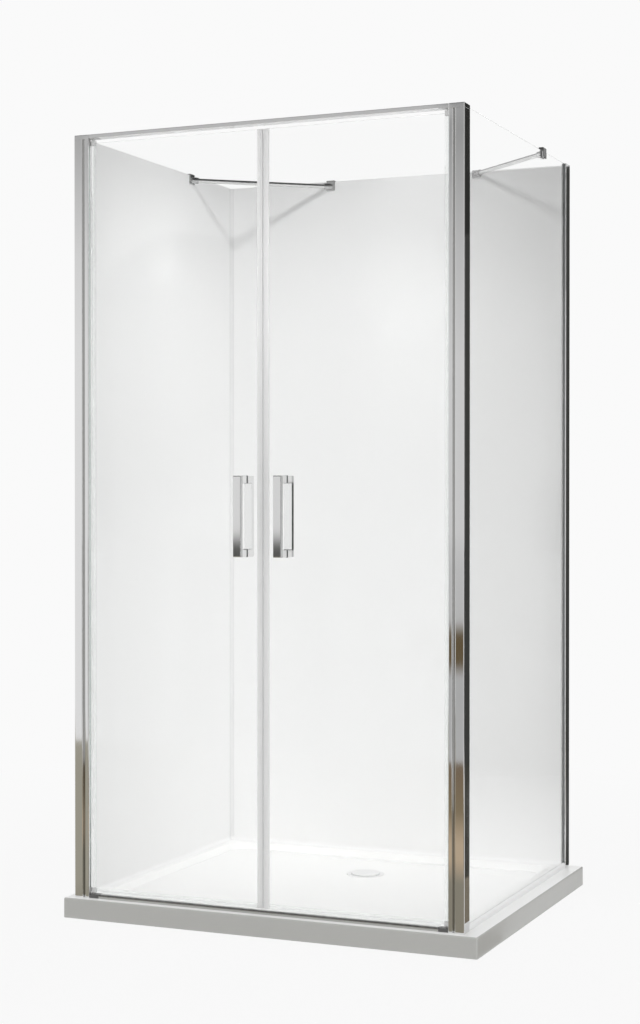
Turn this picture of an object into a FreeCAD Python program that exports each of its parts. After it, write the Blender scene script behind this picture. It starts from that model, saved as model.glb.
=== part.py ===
import FreeCAD, Part
import math
import os

# Shower enclosure on a low tray, in millimetres.
# Origin: centre of the tray's underside. +X is to the right, +Y to the back wall, +Z up.

# Tray
tray_width = 1100.0
tray_depth = 910.0
tray_height = 50.0
tray_corner_radius = 4.0
tray_edge_radius = 3.5
rim_front = 74.0
rim_back = 40.0
rim_left = 58.0
rim_right = 76.0
basin_corner_radius = 60.0
basin_wall_run = 16.0
basin_edge_z = 36.0
basin_drain_z = 28.0
dish_radius = 585.0

# Waste in the tray floor
drain_y = 224.0
drain_hole_radius = 45.0
drain_seat_radius = 52.0
drain_seat_depth = 2.5
waste_flange_thickness = 3.5
waste_cup_radius = 43.0
waste_wall = 3.0
waste_outlet_radius = 25.0
waste_base_z = 2.0
waste_neck_height = 10.0
waste_shoulder = 3.0
waste_floor_thickness = 1.0
waste_floor_fall = 4.0
flange_taper = 2.0
strainer_depth = 7.0
strainer_thickness = 1.6
strainer_pitch = 12.0
strainer_slots = 2
cover_radius = 39.5
cover_dome = 3.5
cover_thickness = 2.2
cover_foot_radius = 3.0
cover_foot_height = 1.6
cover_foot_circle = 33.5
cover_feet = 3
cover_foot_root = 1.6

# Front frame
frame_top_z = 1975.0
frame_width = 1040.0
frame_left_x = -528.0
front_setback = 18.0
post_width = 24.0
post_depth = 40.0
post_wall = 2.0
post_radius = 2.5
panel_groove_from = 4.0
panel_groove_width = 10.0
panel_groove_depth = 14.0
jamb_slot_from = 15.6
jamb_slot_front = 2.4
jamb_slot_back = 27.0
slot_lip_from = 22.0
slot_lip_back = 6.0
slot_step_depth = 29.0
jamb_from = 29.0
jamb_to = 40.5
jamb_front = 1.0
jamb_back = 32.0
jamb_wall = 1.8
jamb_flange_from = 17.0
jamb_flange_front = 6.3
jamb_flange_back = 24.7
flange_thickness = 2.0
cap_height = 11.0
cap_plug_depth = 12.0
header_height = 9.0
header_front = 1.5
header_back = 30.0
header_wall = 2.0
threshold_height = 8.5
threshold_front = 5.0
threshold_back = 28.0
pivot_block_from = 41.0
pivot_block_to = 66.0
threshold_nose = 2.0
threshold_slope_run = 3.0
threshold_slope_fall = 5.0
drip_groove_from = 4.0
drip_groove_to = 9.0
drip_groove_flank = 1.0
drip_groove_depth = 1.5
cap_bevel = 1.0
header_edge_radius = 0.8
pivot_block_bevel = 1.2
pivot_hole_floor = 1.0
fixing_heights = (320.0, 1580.0)
fixing_offset = 19.3
screw_radius = 1.8
screw_hole_radius = 1.85
screw_head_radius = 3.3
screw_head_height = 2.2
screw_head_taper = 0.8
screw_bite = 3.0

# Doors
glass_thickness = 6.0
pivot_offset = 46.5
door_plane = 16.5
door_glass_from = 45.3
strip_half_thickness = 5.0
strip_to = 53.0
door_glass_bottom_z = 68.0
door_glass_top_z = 1955.0
shoe_grip = 6.0
shoe_rise = 6.0
pin_radius = 3.0
pin_clearance = 0.05
pin_end_gap = 1.5
meeting_gap = 1.0
meeting_seal_width = 14.7
meeting_seal_half = 4.3
meeting_glass_edge = 8.0
meeting_seal_radius = 1.2
magnet_face_wall = 1.2
magnet_depth = 4.3
magnet_half = 2.6
magnet_radius = 0.8
magnet_play = 0.1
magnet_end_gap = 2.0
seal_bottom_z = 62.5
seal_wall = 1.5
seal_grip = 6.0
seal_floor = 2.0
fin_reach = 5.0
fin_thickness = 1.0
fin_drop = 1.5
fin_from = 65.0

# Handles
handle_offset = 53.5
handle_width = 20.5
handle_thickness = 12.0
handle_height = 198.0
handle_leg_height = 18.0
handle_reach = 36.5
handle_centre_z = 1016.0
handle_corner_radius = 3.0
pad_thickness = 1.0
pad_inset = 0.4
handle_bevel = 0.8
bolt_radius = 3.0
bolt_bite = 13.0
bolt_hole_depth = 15.0
glass_hole_radius = 4.2

# Fixed panels
panel_thickness = 8.0
panel_top_z = 1971.0
back_setback = 6.0
trim_size = 10.0
sheet_front_gap = 1.5
gasket_floor = 1.4
gasket_short = 8.0

# Right side glass
wall_channel_width = 17.5
wall_channel_depth = 26.0
wall_channel_wall = 2.2
wall_channel_radius = 1.2
rear_gasket_depth = 14.0
side_glass_back_gap = 4.0
pilot_depth = 5.0
sill_channel_width = 14.0
sill_channel_height = 14.0
sill_floor = 5.0
sill_bevel = 4.0
sill_lip = 1.0

# Braces over the back corners
brace_radius = 6.0
brace_z = {"left": 1957.0, "right": 1965.0}
brace_left_y = 186.0
brace_left_x = -195.0
brace_right_y = 217.0
brace_right_x = 242.0
clamp_length = 26.0
clamp_cheek = 4.5
clamp_drop = 12.0
clamp_cap = 3.0
glass_clamp_cap = 9.0
clamp_bevel = 1.5
collar_radius = 8.5
collar_length = 20.0
collar_root = 6.0
socket_floor = 9.0
set_screw_radius = 2.5
set_screw_drop = 3.0

# Room left between pieces that slide or are glued together
slip = 0.3
glue_line = slip / 10
gasket_play = slip / 6

# How far a cut runs past a face, and how close two places count as one
overrun = 1.0
same_place = 0.1

# Derived places
rim_z = tray_height
front_y = front_setback - tray_depth / 2
frame_right_x = frame_left_x + frame_width
centre_x = frame_left_x + frame_width / 2
post_top_z = frame_top_z - cap_height
back_outer_y = tray_depth / 2 - back_setback
back_inner_y = back_outer_y - panel_thickness
groove_middle = panel_groove_from + panel_groove_width / 2
left_panel_x = frame_left_x + groove_middle - panel_thickness / 2
left_inner_x = left_panel_x + panel_thickness
side_glass_x = frame_right_x - groove_middle
door_y = front_y + door_plane
pivot_x = frame_left_x + pivot_offset


def vec(x, y, z):
    return FreeCAD.Vector(x, y, z)


def block(x_from, x_to, y_from, y_to, z_from, z_to):
    size = (x_to - x_from, y_to - y_from, z_to - z_from)
    return Part.makeBox(size[0], size[1], size[2], vec(x_from, y_from, z_from))


def rounded_wire(x_from, x_to, y_from, y_to, radius, z):
    bend = radius * (1 - math.sqrt(0.5))
    corners = (
        (x_to - radius, y_from, x_to - bend, y_from + bend, x_to, y_from + radius),
        (x_to, y_to - radius, x_to - bend, y_to - bend, x_to - radius, y_to),
        (x_from + radius, y_to, x_from + bend, y_to - bend, x_from, y_to - radius),
        (x_from, y_from + radius, x_from + bend, y_from + bend, x_from + radius, y_from),
    )
    edges = []
    for number, corner in enumerate(corners):
        start = vec(corner[0], corner[1], z)
        middle = vec(corner[2], corner[3], z)
        end = vec(corner[4], corner[5], z)
        following = corners[(number + 1) % len(corners)]
        edges.append(Part.Arc(start, middle, end).toShape())
        edges.append(Part.makeLine(end, vec(following[0], following[1], z)))
    return Part.Wire(edges)


def rounded_face(x_from, x_to, y_from, y_to, radius, z):
    return Part.Face(rounded_wire(x_from, x_to, y_from, y_to, radius, z))


def rectangle(x_from, x_to, y_from, y_to, z):
    corners = [vec(x_from, y_from, z), vec(x_to, y_from, z), vec(x_to, y_to, z), vec(x_from, y_to, z)]
    return Part.Face(Part.makePolygon(corners + corners[:1]))


def raise_section(section, height):
    solids = [face.extrude(vec(0, 0, height)) for face in section.Faces]
    return solids[0] if len(solids) == 1 else Part.makeCompound(solids)


def section_along_x(points, x_from, x_to):
    corners = [vec(x_from, y, z) for y, z in points]
    face = Part.Face(Part.makePolygon(corners + corners[:1]))
    return face.extrude(vec(x_to - x_from, 0, 0))


def pillar(x, y, z_from, z_to, radius):
    return Part.makeCylinder(radius, z_to - z_from, vec(x, y, z_from))


def to_right(shape):
    return shape.mirror(vec(centre_x, 0, 0), vec(1, 0, 0))


def left_rectangle(from_side, to_side, from_front, to_front, z):
    return rectangle(
        frame_left_x + from_side, frame_left_x + to_side, front_y + from_front, front_y + to_front, z
    )


def left_block(from_side, to_side, from_front, to_front, z_from, z_to):
    return block(
        frame_left_x + from_side,
        frame_left_x + to_side,
        front_y + from_front,
        front_y + to_front,
        z_from,
        z_to,
    )


# Tray: a cast slab with a rounded rim and a floor that falls to the waste
def basin_limits(inset):
    return (
        -tray_width / 2 + rim_left + inset,
        tray_width / 2 - rim_right - inset,
        -tray_depth / 2 + rim_front + inset,
        tray_depth / 2 - rim_back - inset,
    )


def basin_cut():
    top = rounded_wire(*basin_limits(0), basin_corner_radius, rim_z)
    foot = rounded_wire(*basin_limits(basin_wall_run), basin_corner_radius, basin_edge_z)
    walls = Part.makeLoft([top, foot], True, True)
    fall = basin_edge_z - basin_drain_z
    floor_outline = rounded_face(*basin_limits(basin_wall_run), basin_corner_radius, basin_drain_z)
    dish = Part.makeCone(drain_seat_radius, dish_radius, fall, vec(0, drain_y, basin_drain_z))
    return walls.fuse(raise_section(floor_outline, fall).common(dish))


def shower_tray():
    outline = rounded_face(
        -tray_width / 2, tray_width / 2, -tray_depth / 2, tray_depth / 2, tray_corner_radius, 0
    )
    slab = raise_section(outline, tray_height)
    top_edges = [edge for edge in slab.Edges if edge.BoundBox.ZMin > tray_height - same_place]
    slab = slab.makeFillet(tray_edge_radius, top_edges)
    seat_z = basin_drain_z - drain_seat_depth
    tray = slab.cut(basin_cut())
    tray = tray.cut(pillar(0, drain_y, seat_z, rim_z, drain_seat_radius))
    return tray.cut(pillar(0, drain_y, -overrun, rim_z, drain_hole_radius))


def turned(points):
    corners = [vec(radius, drain_y, z) for radius, z in points]
    face = Part.Face(Part.makePolygon(corners + corners[:1]))
    return face.revolve(vec(0, drain_y, 0), vec(0, 0, 1), 360)


def waste_levels():
    seat = basin_drain_z - drain_seat_depth + glue_line
    return seat, seat + waste_flange_thickness


def waste_body():
    seat, top = waste_levels()
    neck_top = waste_base_z + waste_neck_height
    floor_z = neck_top + waste_floor_thickness
    inner = waste_cup_radius - waste_wall
    return turned([
        (inner, top),
        (drain_seat_radius - flange_taper, top),
        (drain_seat_radius - slip, seat),
        (waste_cup_radius, seat),
        (waste_cup_radius, neck_top + waste_shoulder),
        (waste_outlet_radius + waste_wall, neck_top),
        (waste_outlet_radius + waste_wall, waste_base_z),
        (waste_outlet_radius, waste_base_z),
        (waste_outlet_radius, floor_z),
        (inner, floor_z + waste_floor_fall),
    ])


def waste_strainer():
    radius = waste_cup_radius - waste_wall - slip
    plate_z = basin_drain_z - strainer_depth
    strainer = pillar(0, drain_y, plate_z, plate_z + strainer_thickness, radius)
    for number in range(-strainer_slots, strainer_slots + 1):
        x = number * strainer_pitch
        half = strainer_pitch / 4
        reach = math.sqrt(radius ** 2 - (abs(x) + half) ** 2) - strainer_pitch / 2
        below = plate_z - overrun
        above = plate_z + strainer_thickness + overrun
        strainer = strainer.cut(block(x - half, x + half, drain_y - reach, drain_y + reach, below, above))
    return strainer


def drain_cover():
    seat, top = waste_levels()
    foot_z = top + slip
    rim = foot_z + cover_foot_height
    crown = rim + cover_thickness + cover_dome
    dome_radius = (cover_radius ** 2 + cover_dome ** 2) / (2 * cover_dome)
    dome_middle = crown - dome_radius
    upper = Part.makeSphere(dome_radius, vec(0, drain_y, dome_middle), vec(1, 0, 0))
    lower = Part.makeSphere(dome_radius, vec(0, drain_y, dome_middle - cover_thickness), vec(1, 0, 0))
    cover = pillar(0, drain_y, rim, crown + overrun, cover_radius).common(upper).cut(lower)
    for number in range(cover_feet):
        angle = math.pi / 2 + 2 * math.pi * number / cover_feet
        x = cover_foot_circle * math.cos(angle)
        y = drain_y + cover_foot_circle * math.sin(angle)
        cover = cover.fuse(pillar(x, y, foot_z, rim + cover_foot_root, cover_foot_radius))
    return cover.removeSplitter()


# Fixed panels standing on the rim, with coved trims in the corners
def left_panel():
    front = front_y + post_depth - panel_groove_depth + sheet_front_gap
    return block(left_panel_x, left_inner_x, front, back_inner_y - slip, rim_z, panel_top_z)


def back_panel():
    x_to = side_glass_x + wall_channel_width / 2 - wall_channel_wall - slip
    panel = block(left_panel_x, x_to, back_inner_y, back_outer_y, rim_z, panel_top_z)
    for height in fixing_heights:
        panel = panel.cut(channel_drill(height))
    return panel


def cove(corner, along_a, along_b, run):
    ends = (corner + along_a * trim_size, corner + along_b * trim_size)
    bow = corner + (along_a + along_b) * (trim_size * (1 - math.sqrt(0.5)))
    profile = Part.Wire([
        Part.makeLine(corner, ends[0]),
        Part.Arc(ends[0], bow, ends[1]).toShape(),
        Part.makeLine(ends[1], corner),
    ])
    return Part.Face(profile).extrude(run)


def rear_corner_trim():
    corner = vec(left_inner_x, back_inner_y, rim_z + trim_size)
    return cove(corner, vec(1, 0, 0), vec(0, -1, 0), vec(0, 0, panel_top_z - rim_z - trim_size))


def left_base_trim():
    start = front_y + post_depth
    corner = vec(left_inner_x, start, rim_z)
    return cove(corner, vec(1, 0, 0), vec(0, 0, 1), vec(0, back_inner_y - trim_size - start, 0))


def back_base_trim():
    corner = vec(left_inner_x, back_inner_y, rim_z)
    end = side_glass_x - wall_channel_width / 2
    return cove(corner, vec(0, -1, 0), vec(0, 0, 1), vec(end - left_inner_x, 0, 0))


# Front frame: a post at each side with a jamb that slides into it
def post_outline(z):
    section = rounded_face(
        frame_left_x, frame_left_x + post_width, front_y, front_y + post_depth, post_radius, z
    )
    step = left_rectangle(
        jamb_slot_from, post_width + overrun, slot_step_depth, post_depth + overrun, z
    )
    return section.cut(step)


def post_section(z):
    groove_to = panel_groove_from + panel_groove_width
    groove_floor = post_depth - panel_groove_depth
    chamber_to = jamb_slot_from - post_wall
    hollows = (
        left_rectangle(panel_groove_from, groove_to, groove_floor, post_depth + overrun, z),
        left_rectangle(post_wall, chamber_to, jamb_slot_front, groove_floor - post_wall, z),
        left_rectangle(jamb_slot_from, slot_lip_from, jamb_slot_front, jamb_slot_back, z),
        left_rectangle(slot_lip_from - overrun, post_width + overrun, slot_lip_back, jamb_slot_back, z),
    )
    section = post_outline(z)
    for hollow in hollows:
        section = section.cut(hollow)
    return section


def fixing_points():
    return [(frame_left_x + fixing_offset, rim_z + height) for height in fixing_heights]


def back_drill(x, z, from_front, to_front):
    length = to_front - from_front
    return Part.makeCylinder(screw_hole_radius, length, vec(x, front_y + from_front, z), vec(0, 1, 0))


def left_post():
    post = raise_section(post_section(rim_z), post_top_z - rim_z)
    for x, z in fixing_points():
        post = post.cut(back_drill(x, z, jamb_slot_back - overrun, slot_step_depth + overrun))
    return post


def left_jamb():
    section = rounded_face(
        frame_left_x + jamb_from,
        frame_left_x + jamb_to,
        front_y + jamb_front,
        front_y + jamb_back,
        post_radius,
        rim_z,
    )
    chamber = left_rectangle(
        jamb_from + jamb_wall, jamb_to - jamb_wall, jamb_front + jamb_wall, jamb_back - jamb_wall, rim_z
    )
    jamb = raise_section(section.cut(chamber), post_top_z - rim_z)
    for start in (jamb_flange_front, jamb_flange_back):
        end = start + flange_thickness
        jamb = jamb.fuse(left_block(jamb_flange_from, jamb_from + overrun, start, end, rim_z, post_top_z))
    jamb = jamb.removeSplitter()
    flange_back = jamb_flange_back + flange_thickness
    for x, z in fixing_points():
        jamb = jamb.cut(back_drill(x, z, jamb_flange_back - overrun, flange_back + overrun))
    return jamb


def screw(tip, axis, length):
    head_face = length + screw_head_height
    outline = (
        (0, 0),
        (screw_radius, 0),
        (screw_radius, length),
        (screw_head_radius, length),
        (screw_head_radius - screw_head_taper, head_face),
        (0, head_face),
    )
    side = axis.cross(vec(0, 0, 1))
    corners = [tip + side * reach + axis * height for reach, height in outline]
    face = Part.Face(Part.makePolygon(corners + corners[:1]))
    return face.revolve(tip, axis, 360)


def fixing_screws():
    screws = []
    reach = slot_step_depth - jamb_flange_back + screw_bite
    for x, z in fixing_points():
        tip = vec(x, front_y + slot_step_depth - reach, z)
        left = screw(tip, vec(0, 1, 0), reach)
        screws.append(left)
        screws.append(to_right(left))
    return Part.makeCompound(screws)


def left_corner_cap():
    outline = rounded_face(
        frame_left_x, frame_left_x + jamb_to, front_y, front_y + post_depth, post_radius, post_top_z
    )
    cap = raise_section(outline, cap_height)
    top_edges = [edge for edge in cap.Edges if edge.BoundBox.ZMin > frame_top_z - same_place]
    cap = cap.makeChamfer(cap_bevel, top_edges)
    groove_floor = post_depth - panel_groove_depth
    plug_z = post_top_z - cap_plug_depth
    post_plug = left_block(
        post_wall + slip,
        jamb_slot_from - post_wall - slip,
        jamb_slot_front + slip,
        groove_floor - post_wall - slip,
        plug_z,
        post_top_z + overrun,
    )
    jamb_plug = left_block(
        jamb_from + jamb_wall + slip,
        jamb_to - jamb_wall - slip,
        jamb_front + jamb_wall + slip,
        jamb_back - jamb_wall - slip,
        plug_z,
        post_top_z + overrun,
    )
    sheet_notch = left_block(
        panel_groove_from,
        panel_groove_from + panel_groove_width,
        groove_floor,
        post_depth + overrun,
        post_top_z - overrun,
        panel_top_z + slip,
    )
    return cap.cut(sheet_notch).fuse(post_plug).fuse(jamb_plug).removeSplitter()


def header_rail():
    y_from = front_y + header_front
    y_to = front_y + header_back
    x_from = frame_left_x + jamb_to
    x_to = frame_right_x - jamb_to
    base_z = frame_top_z - header_height
    rail = block(x_from, x_to, y_from, y_to, base_z, frame_top_z)
    ridges = []
    for edge in rail.Edges:
        if edge.BoundBox.ZMin > frame_top_z - same_place and edge.Length > tray_width / 2:
            ridges.append(edge)
    rail = rail.makeFillet(header_edge_radius, ridges)
    hollow = block(
        x_from - overrun,
        x_to + overrun,
        y_from + header_wall,
        y_to - header_wall,
        base_z + header_wall,
        frame_top_z - header_wall,
    )
    # Each end is open below, where a pivot block is fitted
    notch = left_block(
        jamb_to - overrun,
        pivot_block_to + slip / 2,
        header_front + header_wall,
        header_back - header_wall,
        base_z - overrun,
        base_z + 2 * header_wall,
    )
    return rail.cut(hollow).cut(notch).cut(to_right(notch))


def threshold_bar():
    front = front_y + threshold_front
    back = front_y + threshold_back
    top = rim_z + threshold_height
    groove_z = top - drip_groove_depth
    points = (
        (front, rim_z),
        (back, rim_z),
        (back, top - threshold_slope_fall),
        (back - threshold_slope_run, top),
        (front + drip_groove_to, top),
        (front + drip_groove_to - drip_groove_flank, groove_z),
        (front + drip_groove_from + drip_groove_flank, groove_z),
        (front + drip_groove_from, top),
        (front + threshold_nose, top),
        (front, top - threshold_nose),
    )
    return section_along_x(points, frame_left_x + pivot_block_to, frame_right_x - pivot_block_to)


# Door pivots: a pin in each corner shoe turns in a block of the frame
def pivot_pair(block_shape, pin_hole):
    left = block_shape.cut(pin_hole)
    return Part.makeCompound([left, to_right(left)])


def top_pivot_blocks():
    base_z = frame_top_z - header_height
    body = left_block(
        jamb_to,
        pivot_block_to,
        header_front + header_wall + slip / 2,
        header_back - header_wall - slip / 2,
        base_z,
        frame_top_z - header_wall - slip / 2,
    )
    hole_top = frame_top_z - header_wall - pivot_hole_floor
    hole = pillar(pivot_x, door_y, base_z - overrun, hole_top, pin_radius + pin_clearance)
    return pivot_pair(body, hole)


def bottom_pivot_blocks():
    top = rim_z + threshold_height
    body = left_block(pivot_block_from, pivot_block_to, threshold_front, threshold_back, rim_z, top)
    rims = [edge for edge in body.Edges if edge.BoundBox.ZMin > top - same_place]
    body = body.makeChamfer(pivot_block_bevel, rims)
    hole_radius = pin_radius + pin_clearance
    hole = pillar(pivot_x, door_y, rim_z + pivot_hole_floor, top + overrun, hole_radius)
    return pivot_pair(body, hole)


# Left door; the right one is its mirror image
def door_slot(z_from, z_to):
    half = glass_thickness / 2 + slip / 2
    return left_block(
        door_glass_from - slip / 2, strip_to + overrun, door_plane - half, door_plane + half, z_from, z_to
    )


def strip_solid(z_from, z_to):
    nose = pillar(pivot_x, door_y, z_from, z_to, strip_half_thickness)
    tail = left_block(
        pivot_offset,
        strip_to,
        door_plane - strip_half_thickness,
        door_plane + strip_half_thickness,
        z_from,
        z_to,
    )
    return nose.fuse(tail).removeSplitter()


def shoe_levels():
    bottom = (seal_bottom_z, door_glass_bottom_z + shoe_grip)
    top = (door_glass_top_z - shoe_grip, door_glass_top_z + shoe_rise)
    return bottom, top


def left_hinge_strip():
    bottom, top = shoe_levels()
    strip = strip_solid(bottom[1], top[0])
    return strip.cut(door_slot(bottom[1] - overrun, top[0] + overrun))


def left_pivot_shoes():
    bottom, top = shoe_levels()
    lower = strip_solid(*bottom)
    lower_end = door_glass_bottom_z - slip / 2
    lower = lower.cut(door_slot(lower_end, bottom[1] + overrun))
    lower = lower.cut(pillar(pivot_x, door_y, bottom[0] - overrun, lower_end, pin_radius))
    upper = strip_solid(*top)
    upper_end = door_glass_top_z + slip / 2
    upper = upper.cut(door_slot(top[0] - overrun, upper_end))
    upper = upper.cut(pillar(pivot_x, door_y, upper_end, top[1] + overrun, pin_radius))
    return Part.makeCompound([lower, upper])


def left_pivot_pins():
    low_end = rim_z + pin_end_gap
    high_end = frame_top_z - header_wall - pin_end_gap
    lower = pillar(pivot_x, door_y, low_end, door_glass_bottom_z - slip, pin_radius)
    upper = pillar(pivot_x, door_y, door_glass_top_z + slip, high_end, pin_radius)
    return Part.makeCompound([lower, upper])


def handle_bolt_heights():
    reach = (handle_height - handle_leg_height) / 2
    return (handle_centre_z - reach, handle_centre_z + reach)


def left_handle_x():
    return centre_x - handle_offset


def left_door_glass():
    half = glass_thickness / 2
    pane = block(
        frame_left_x + door_glass_from,
        centre_x - meeting_glass_edge,
        door_y - half,
        door_y + half,
        door_glass_bottom_z,
        door_glass_top_z,
    )
    for z in handle_bolt_heights():
        start = vec(left_handle_x(), door_y - glass_thickness, z)
        hole = Part.makeCylinder(glass_hole_radius, 2 * glass_thickness, start, vec(0, 1, 0))
        pane = pane.cut(hole)
    return pane


def magnet_face(inset, z):
    end = centre_x - meeting_gap / 2 - magnet_face_wall - inset
    start = end - magnet_depth + 2 * inset
    half = magnet_half - inset
    return rounded_face(start, end, door_y - half, door_y + half, magnet_radius, z)


def left_meeting_seal():
    end = centre_x - meeting_gap / 2
    start = end - meeting_seal_width
    half = glass_thickness / 2 + slip / 2
    slot_end = centre_x - meeting_glass_edge + slip / 2
    y_from = door_y - meeting_seal_half
    y_to = door_y + meeting_seal_half
    section = rounded_face(start, end, y_from, y_to, meeting_seal_radius, seal_bottom_z)
    slot = rectangle(start - overrun, slot_end, door_y - half, door_y + half, seal_bottom_z)
    section = section.cut(slot).cut(magnet_face(0, seal_bottom_z))
    return raise_section(section, door_glass_top_z - seal_bottom_z)


def left_meeting_magnet():
    section = magnet_face(magnet_play, seal_bottom_z + magnet_end_gap)
    return raise_section(section, door_glass_top_z - seal_bottom_z - 2 * magnet_end_gap)


def left_bottom_seal():
    half = glass_thickness / 2 + slip / 2
    outer = half + seal_wall
    floor_z = door_glass_bottom_z - slip / 2
    grip_z = door_glass_bottom_z + seal_grip
    under_z = floor_z - seal_floor
    tip = door_y + outer + fin_reach
    body = (
        (door_y - outer, grip_z),
        (door_y - outer, seal_bottom_z),
        (door_y - half, seal_bottom_z),
        (door_y, under_z),
        (door_y + outer, under_z),
        (door_y + outer, grip_z),
        (door_y + half, grip_z),
        (door_y + half, floor_z),
        (door_y - half, floor_z),
        (door_y - half, grip_z),
    )
    fin = (
        (door_y + half, under_z),
        (tip - fin_thickness, seal_bottom_z - fin_drop),
        (tip, seal_bottom_z - fin_drop + fin_thickness),
        (door_y + outer, floor_z),
        (door_y + half, floor_z),
    )
    x_to = centre_x - meeting_gap / 2 - meeting_seal_width - slip
    seal = section_along_x(body, frame_left_x + strip_to + slip, x_to)
    return seal.fuse(section_along_x(fin, frame_left_x + fin_from, x_to)).removeSplitter()


# Handles: a flat bar with a leg at each end, one outside and one inside
def handle_solid(side):
    glass_face = glass_thickness / 2
    near = glass_face + pad_thickness
    far = glass_face + handle_reach
    inner = far - handle_thickness
    low = handle_centre_z - handle_height / 2
    high = handle_centre_z + handle_height / 2
    points = (
        (near, low),
        (far, low),
        (far, high),
        (near, high),
        (near, high - handle_leg_height),
        (inner, high - handle_leg_height),
        (inner, low + handle_leg_height),
        (near, low + handle_leg_height),
    )
    placed = [(door_y + side * reach, z) for reach, z in points]
    x = left_handle_x()
    bar = section_along_x(placed, x - handle_width / 2, x + handle_width / 2)
    bends = []
    for edge in bar.Edges:
        box = edge.BoundBox
        across = box.XLength > handle_width - same_place
        reach = abs(box.Center.y - door_y)
        if across and min(abs(reach - far), abs(reach - inner)) < same_place:
            bends.append(edge)
    bar = bar.makeFillet(handle_corner_radius, bends)
    faces_y = door_y + side * far
    long_edges = []
    for edge in bar.Edges:
        box = edge.BoundBox
        if box.ZLength > handle_height / 2 and abs(box.Center.y - faces_y) < same_place:
            long_edges.append(edge)
    bar = bar.makeChamfer(handle_bevel, long_edges)
    for z in handle_bolt_heights():
        start = vec(x, door_y + side * (near - overrun), z)
        depth = bolt_hole_depth + overrun
        bar = bar.cut(Part.makeCylinder(bolt_radius + pin_clearance, depth, start, vec(0, side, 0)))
    return bar


def left_outer_handle():
    return handle_solid(-1)


def left_inner_handle():
    return handle_solid(1)


def left_handle_pads():
    pads = []
    half = handle_width / 2 - pad_inset
    rise = handle_leg_height / 2 - pad_inset
    x = left_handle_x()
    for side in (-1, 1):
        face = door_y + side * glass_thickness / 2
        edges = sorted((face, face + side * pad_thickness))
        for z in handle_bolt_heights():
            pad = block(x - half, x + half, edges[0], edges[1], z - rise, z + rise)
            start = vec(x, edges[0] - overrun, z)
            length = pad_thickness + 2 * overrun
            hole = Part.makeCylinder(bolt_radius + pin_clearance, length, start, vec(0, 1, 0))
            pads.append(pad.cut(hole))
    return Part.makeCompound(pads)


def left_handle_bolts():
    half = glass_thickness / 2 + pad_thickness + bolt_bite
    bolts = []
    for z in handle_bolt_heights():
        start = vec(left_handle_x(), door_y - half, z)
        bolts.append(Part.makeCylinder(bolt_radius, 2 * half, start, vec(0, 1, 0)))
    return Part.makeCompound(bolts)


# Right side: fixed glass between the corner post and a channel that also caps the back panel's end
def side_glass():
    front = front_y + post_depth - panel_groove_depth + sheet_front_gap
    back = back_inner_y - wall_channel_wall - side_glass_back_gap
    half = glass_thickness / 2
    base_z = rim_z + sill_floor + slip
    return block(side_glass_x - half, side_glass_x + half, front, back, base_z, panel_top_z)


def gasket_in_groove(middle_x, sheet_thickness):
    half = panel_groove_width / 2 - gasket_play
    inner = sheet_thickness / 2
    floor_y = front_y + post_depth - panel_groove_depth + gasket_play
    mouth_y = front_y + post_depth
    web_y = floor_y + gasket_floor
    section = rectangle(middle_x - half, middle_x + half, floor_y, mouth_y, rim_z)
    section = section.cut(rectangle(middle_x - inner, middle_x + inner, web_y, mouth_y + overrun, rim_z))
    return raise_section(section, panel_top_z - rim_z - gasket_short)


def left_panel_gasket():
    return gasket_in_groove(frame_left_x + groove_middle, panel_thickness)


def side_front_gasket():
    gasket = gasket_in_groove(side_glass_x, glass_thickness)
    reach = panel_groove_width
    y_to = front_y + post_depth + overrun
    top = rim_z + sill_floor + overrun
    room = block(side_glass_x - reach, side_glass_x + reach, front_y, y_to, rim_z - overrun, top)
    return gasket.cut(room)


def wall_channel():
    half = wall_channel_width / 2
    inner = half - wall_channel_wall
    x_from = side_glass_x - half
    x_to = side_glass_x + half
    mouth = back_inner_y - wall_channel_depth
    web = back_inner_y - wall_channel_wall
    section = rectangle(x_from, x_to, mouth, back_outer_y, rim_z)
    groove = rectangle(side_glass_x - inner, side_glass_x + inner, mouth - overrun, web, rim_z)
    behind = rectangle(
        x_from - overrun, x_to - wall_channel_wall, back_inner_y, back_outer_y + overrun, rim_z
    )
    channel = raise_section(section.cut(groove).cut(behind), panel_top_z - rim_z)
    corners = []
    for edge in channel.Edges:
        box = edge.BoundBox
        outer = abs(abs(box.Center.x - side_glass_x) - half) < same_place
        upright = box.ZLength > wall_channel_depth
        if outer and upright and abs(box.Center.y - mouth) < same_place:
            corners.append(edge)
    channel = channel.makeFillet(wall_channel_radius, corners)
    for height in fixing_heights:
        channel = channel.cut(channel_drill(height))
    return channel


def channel_drill(height):
    depth = wall_channel_wall + overrun
    start = vec(side_glass_x, back_inner_y - depth, rim_z + height)
    return Part.makeCylinder(screw_hole_radius, depth + pilot_depth, start, vec(0, 1, 0))


def channel_screws():
    screws = []
    length = wall_channel_wall + pilot_depth - slip
    for height in fixing_heights:
        tip = vec(side_glass_x, back_inner_y + pilot_depth - slip, rim_z + height)
        screws.append(screw(tip, vec(0, -1, 0), length))
    return Part.makeCompound(screws)


def side_rear_gasket():
    half = wall_channel_width / 2 - wall_channel_wall - gasket_play
    inner = glass_thickness / 2
    mouth = back_inner_y - wall_channel_depth
    base_z = rim_z + sill_channel_height
    legs = []
    for side in (-1, 1):
        edges = sorted((side_glass_x + side * inner, side_glass_x + side * half))
        legs.append(block(edges[0], edges[1], mouth, mouth + rear_gasket_depth, base_z, panel_top_z))
    return Part.makeCompound(legs)


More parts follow.
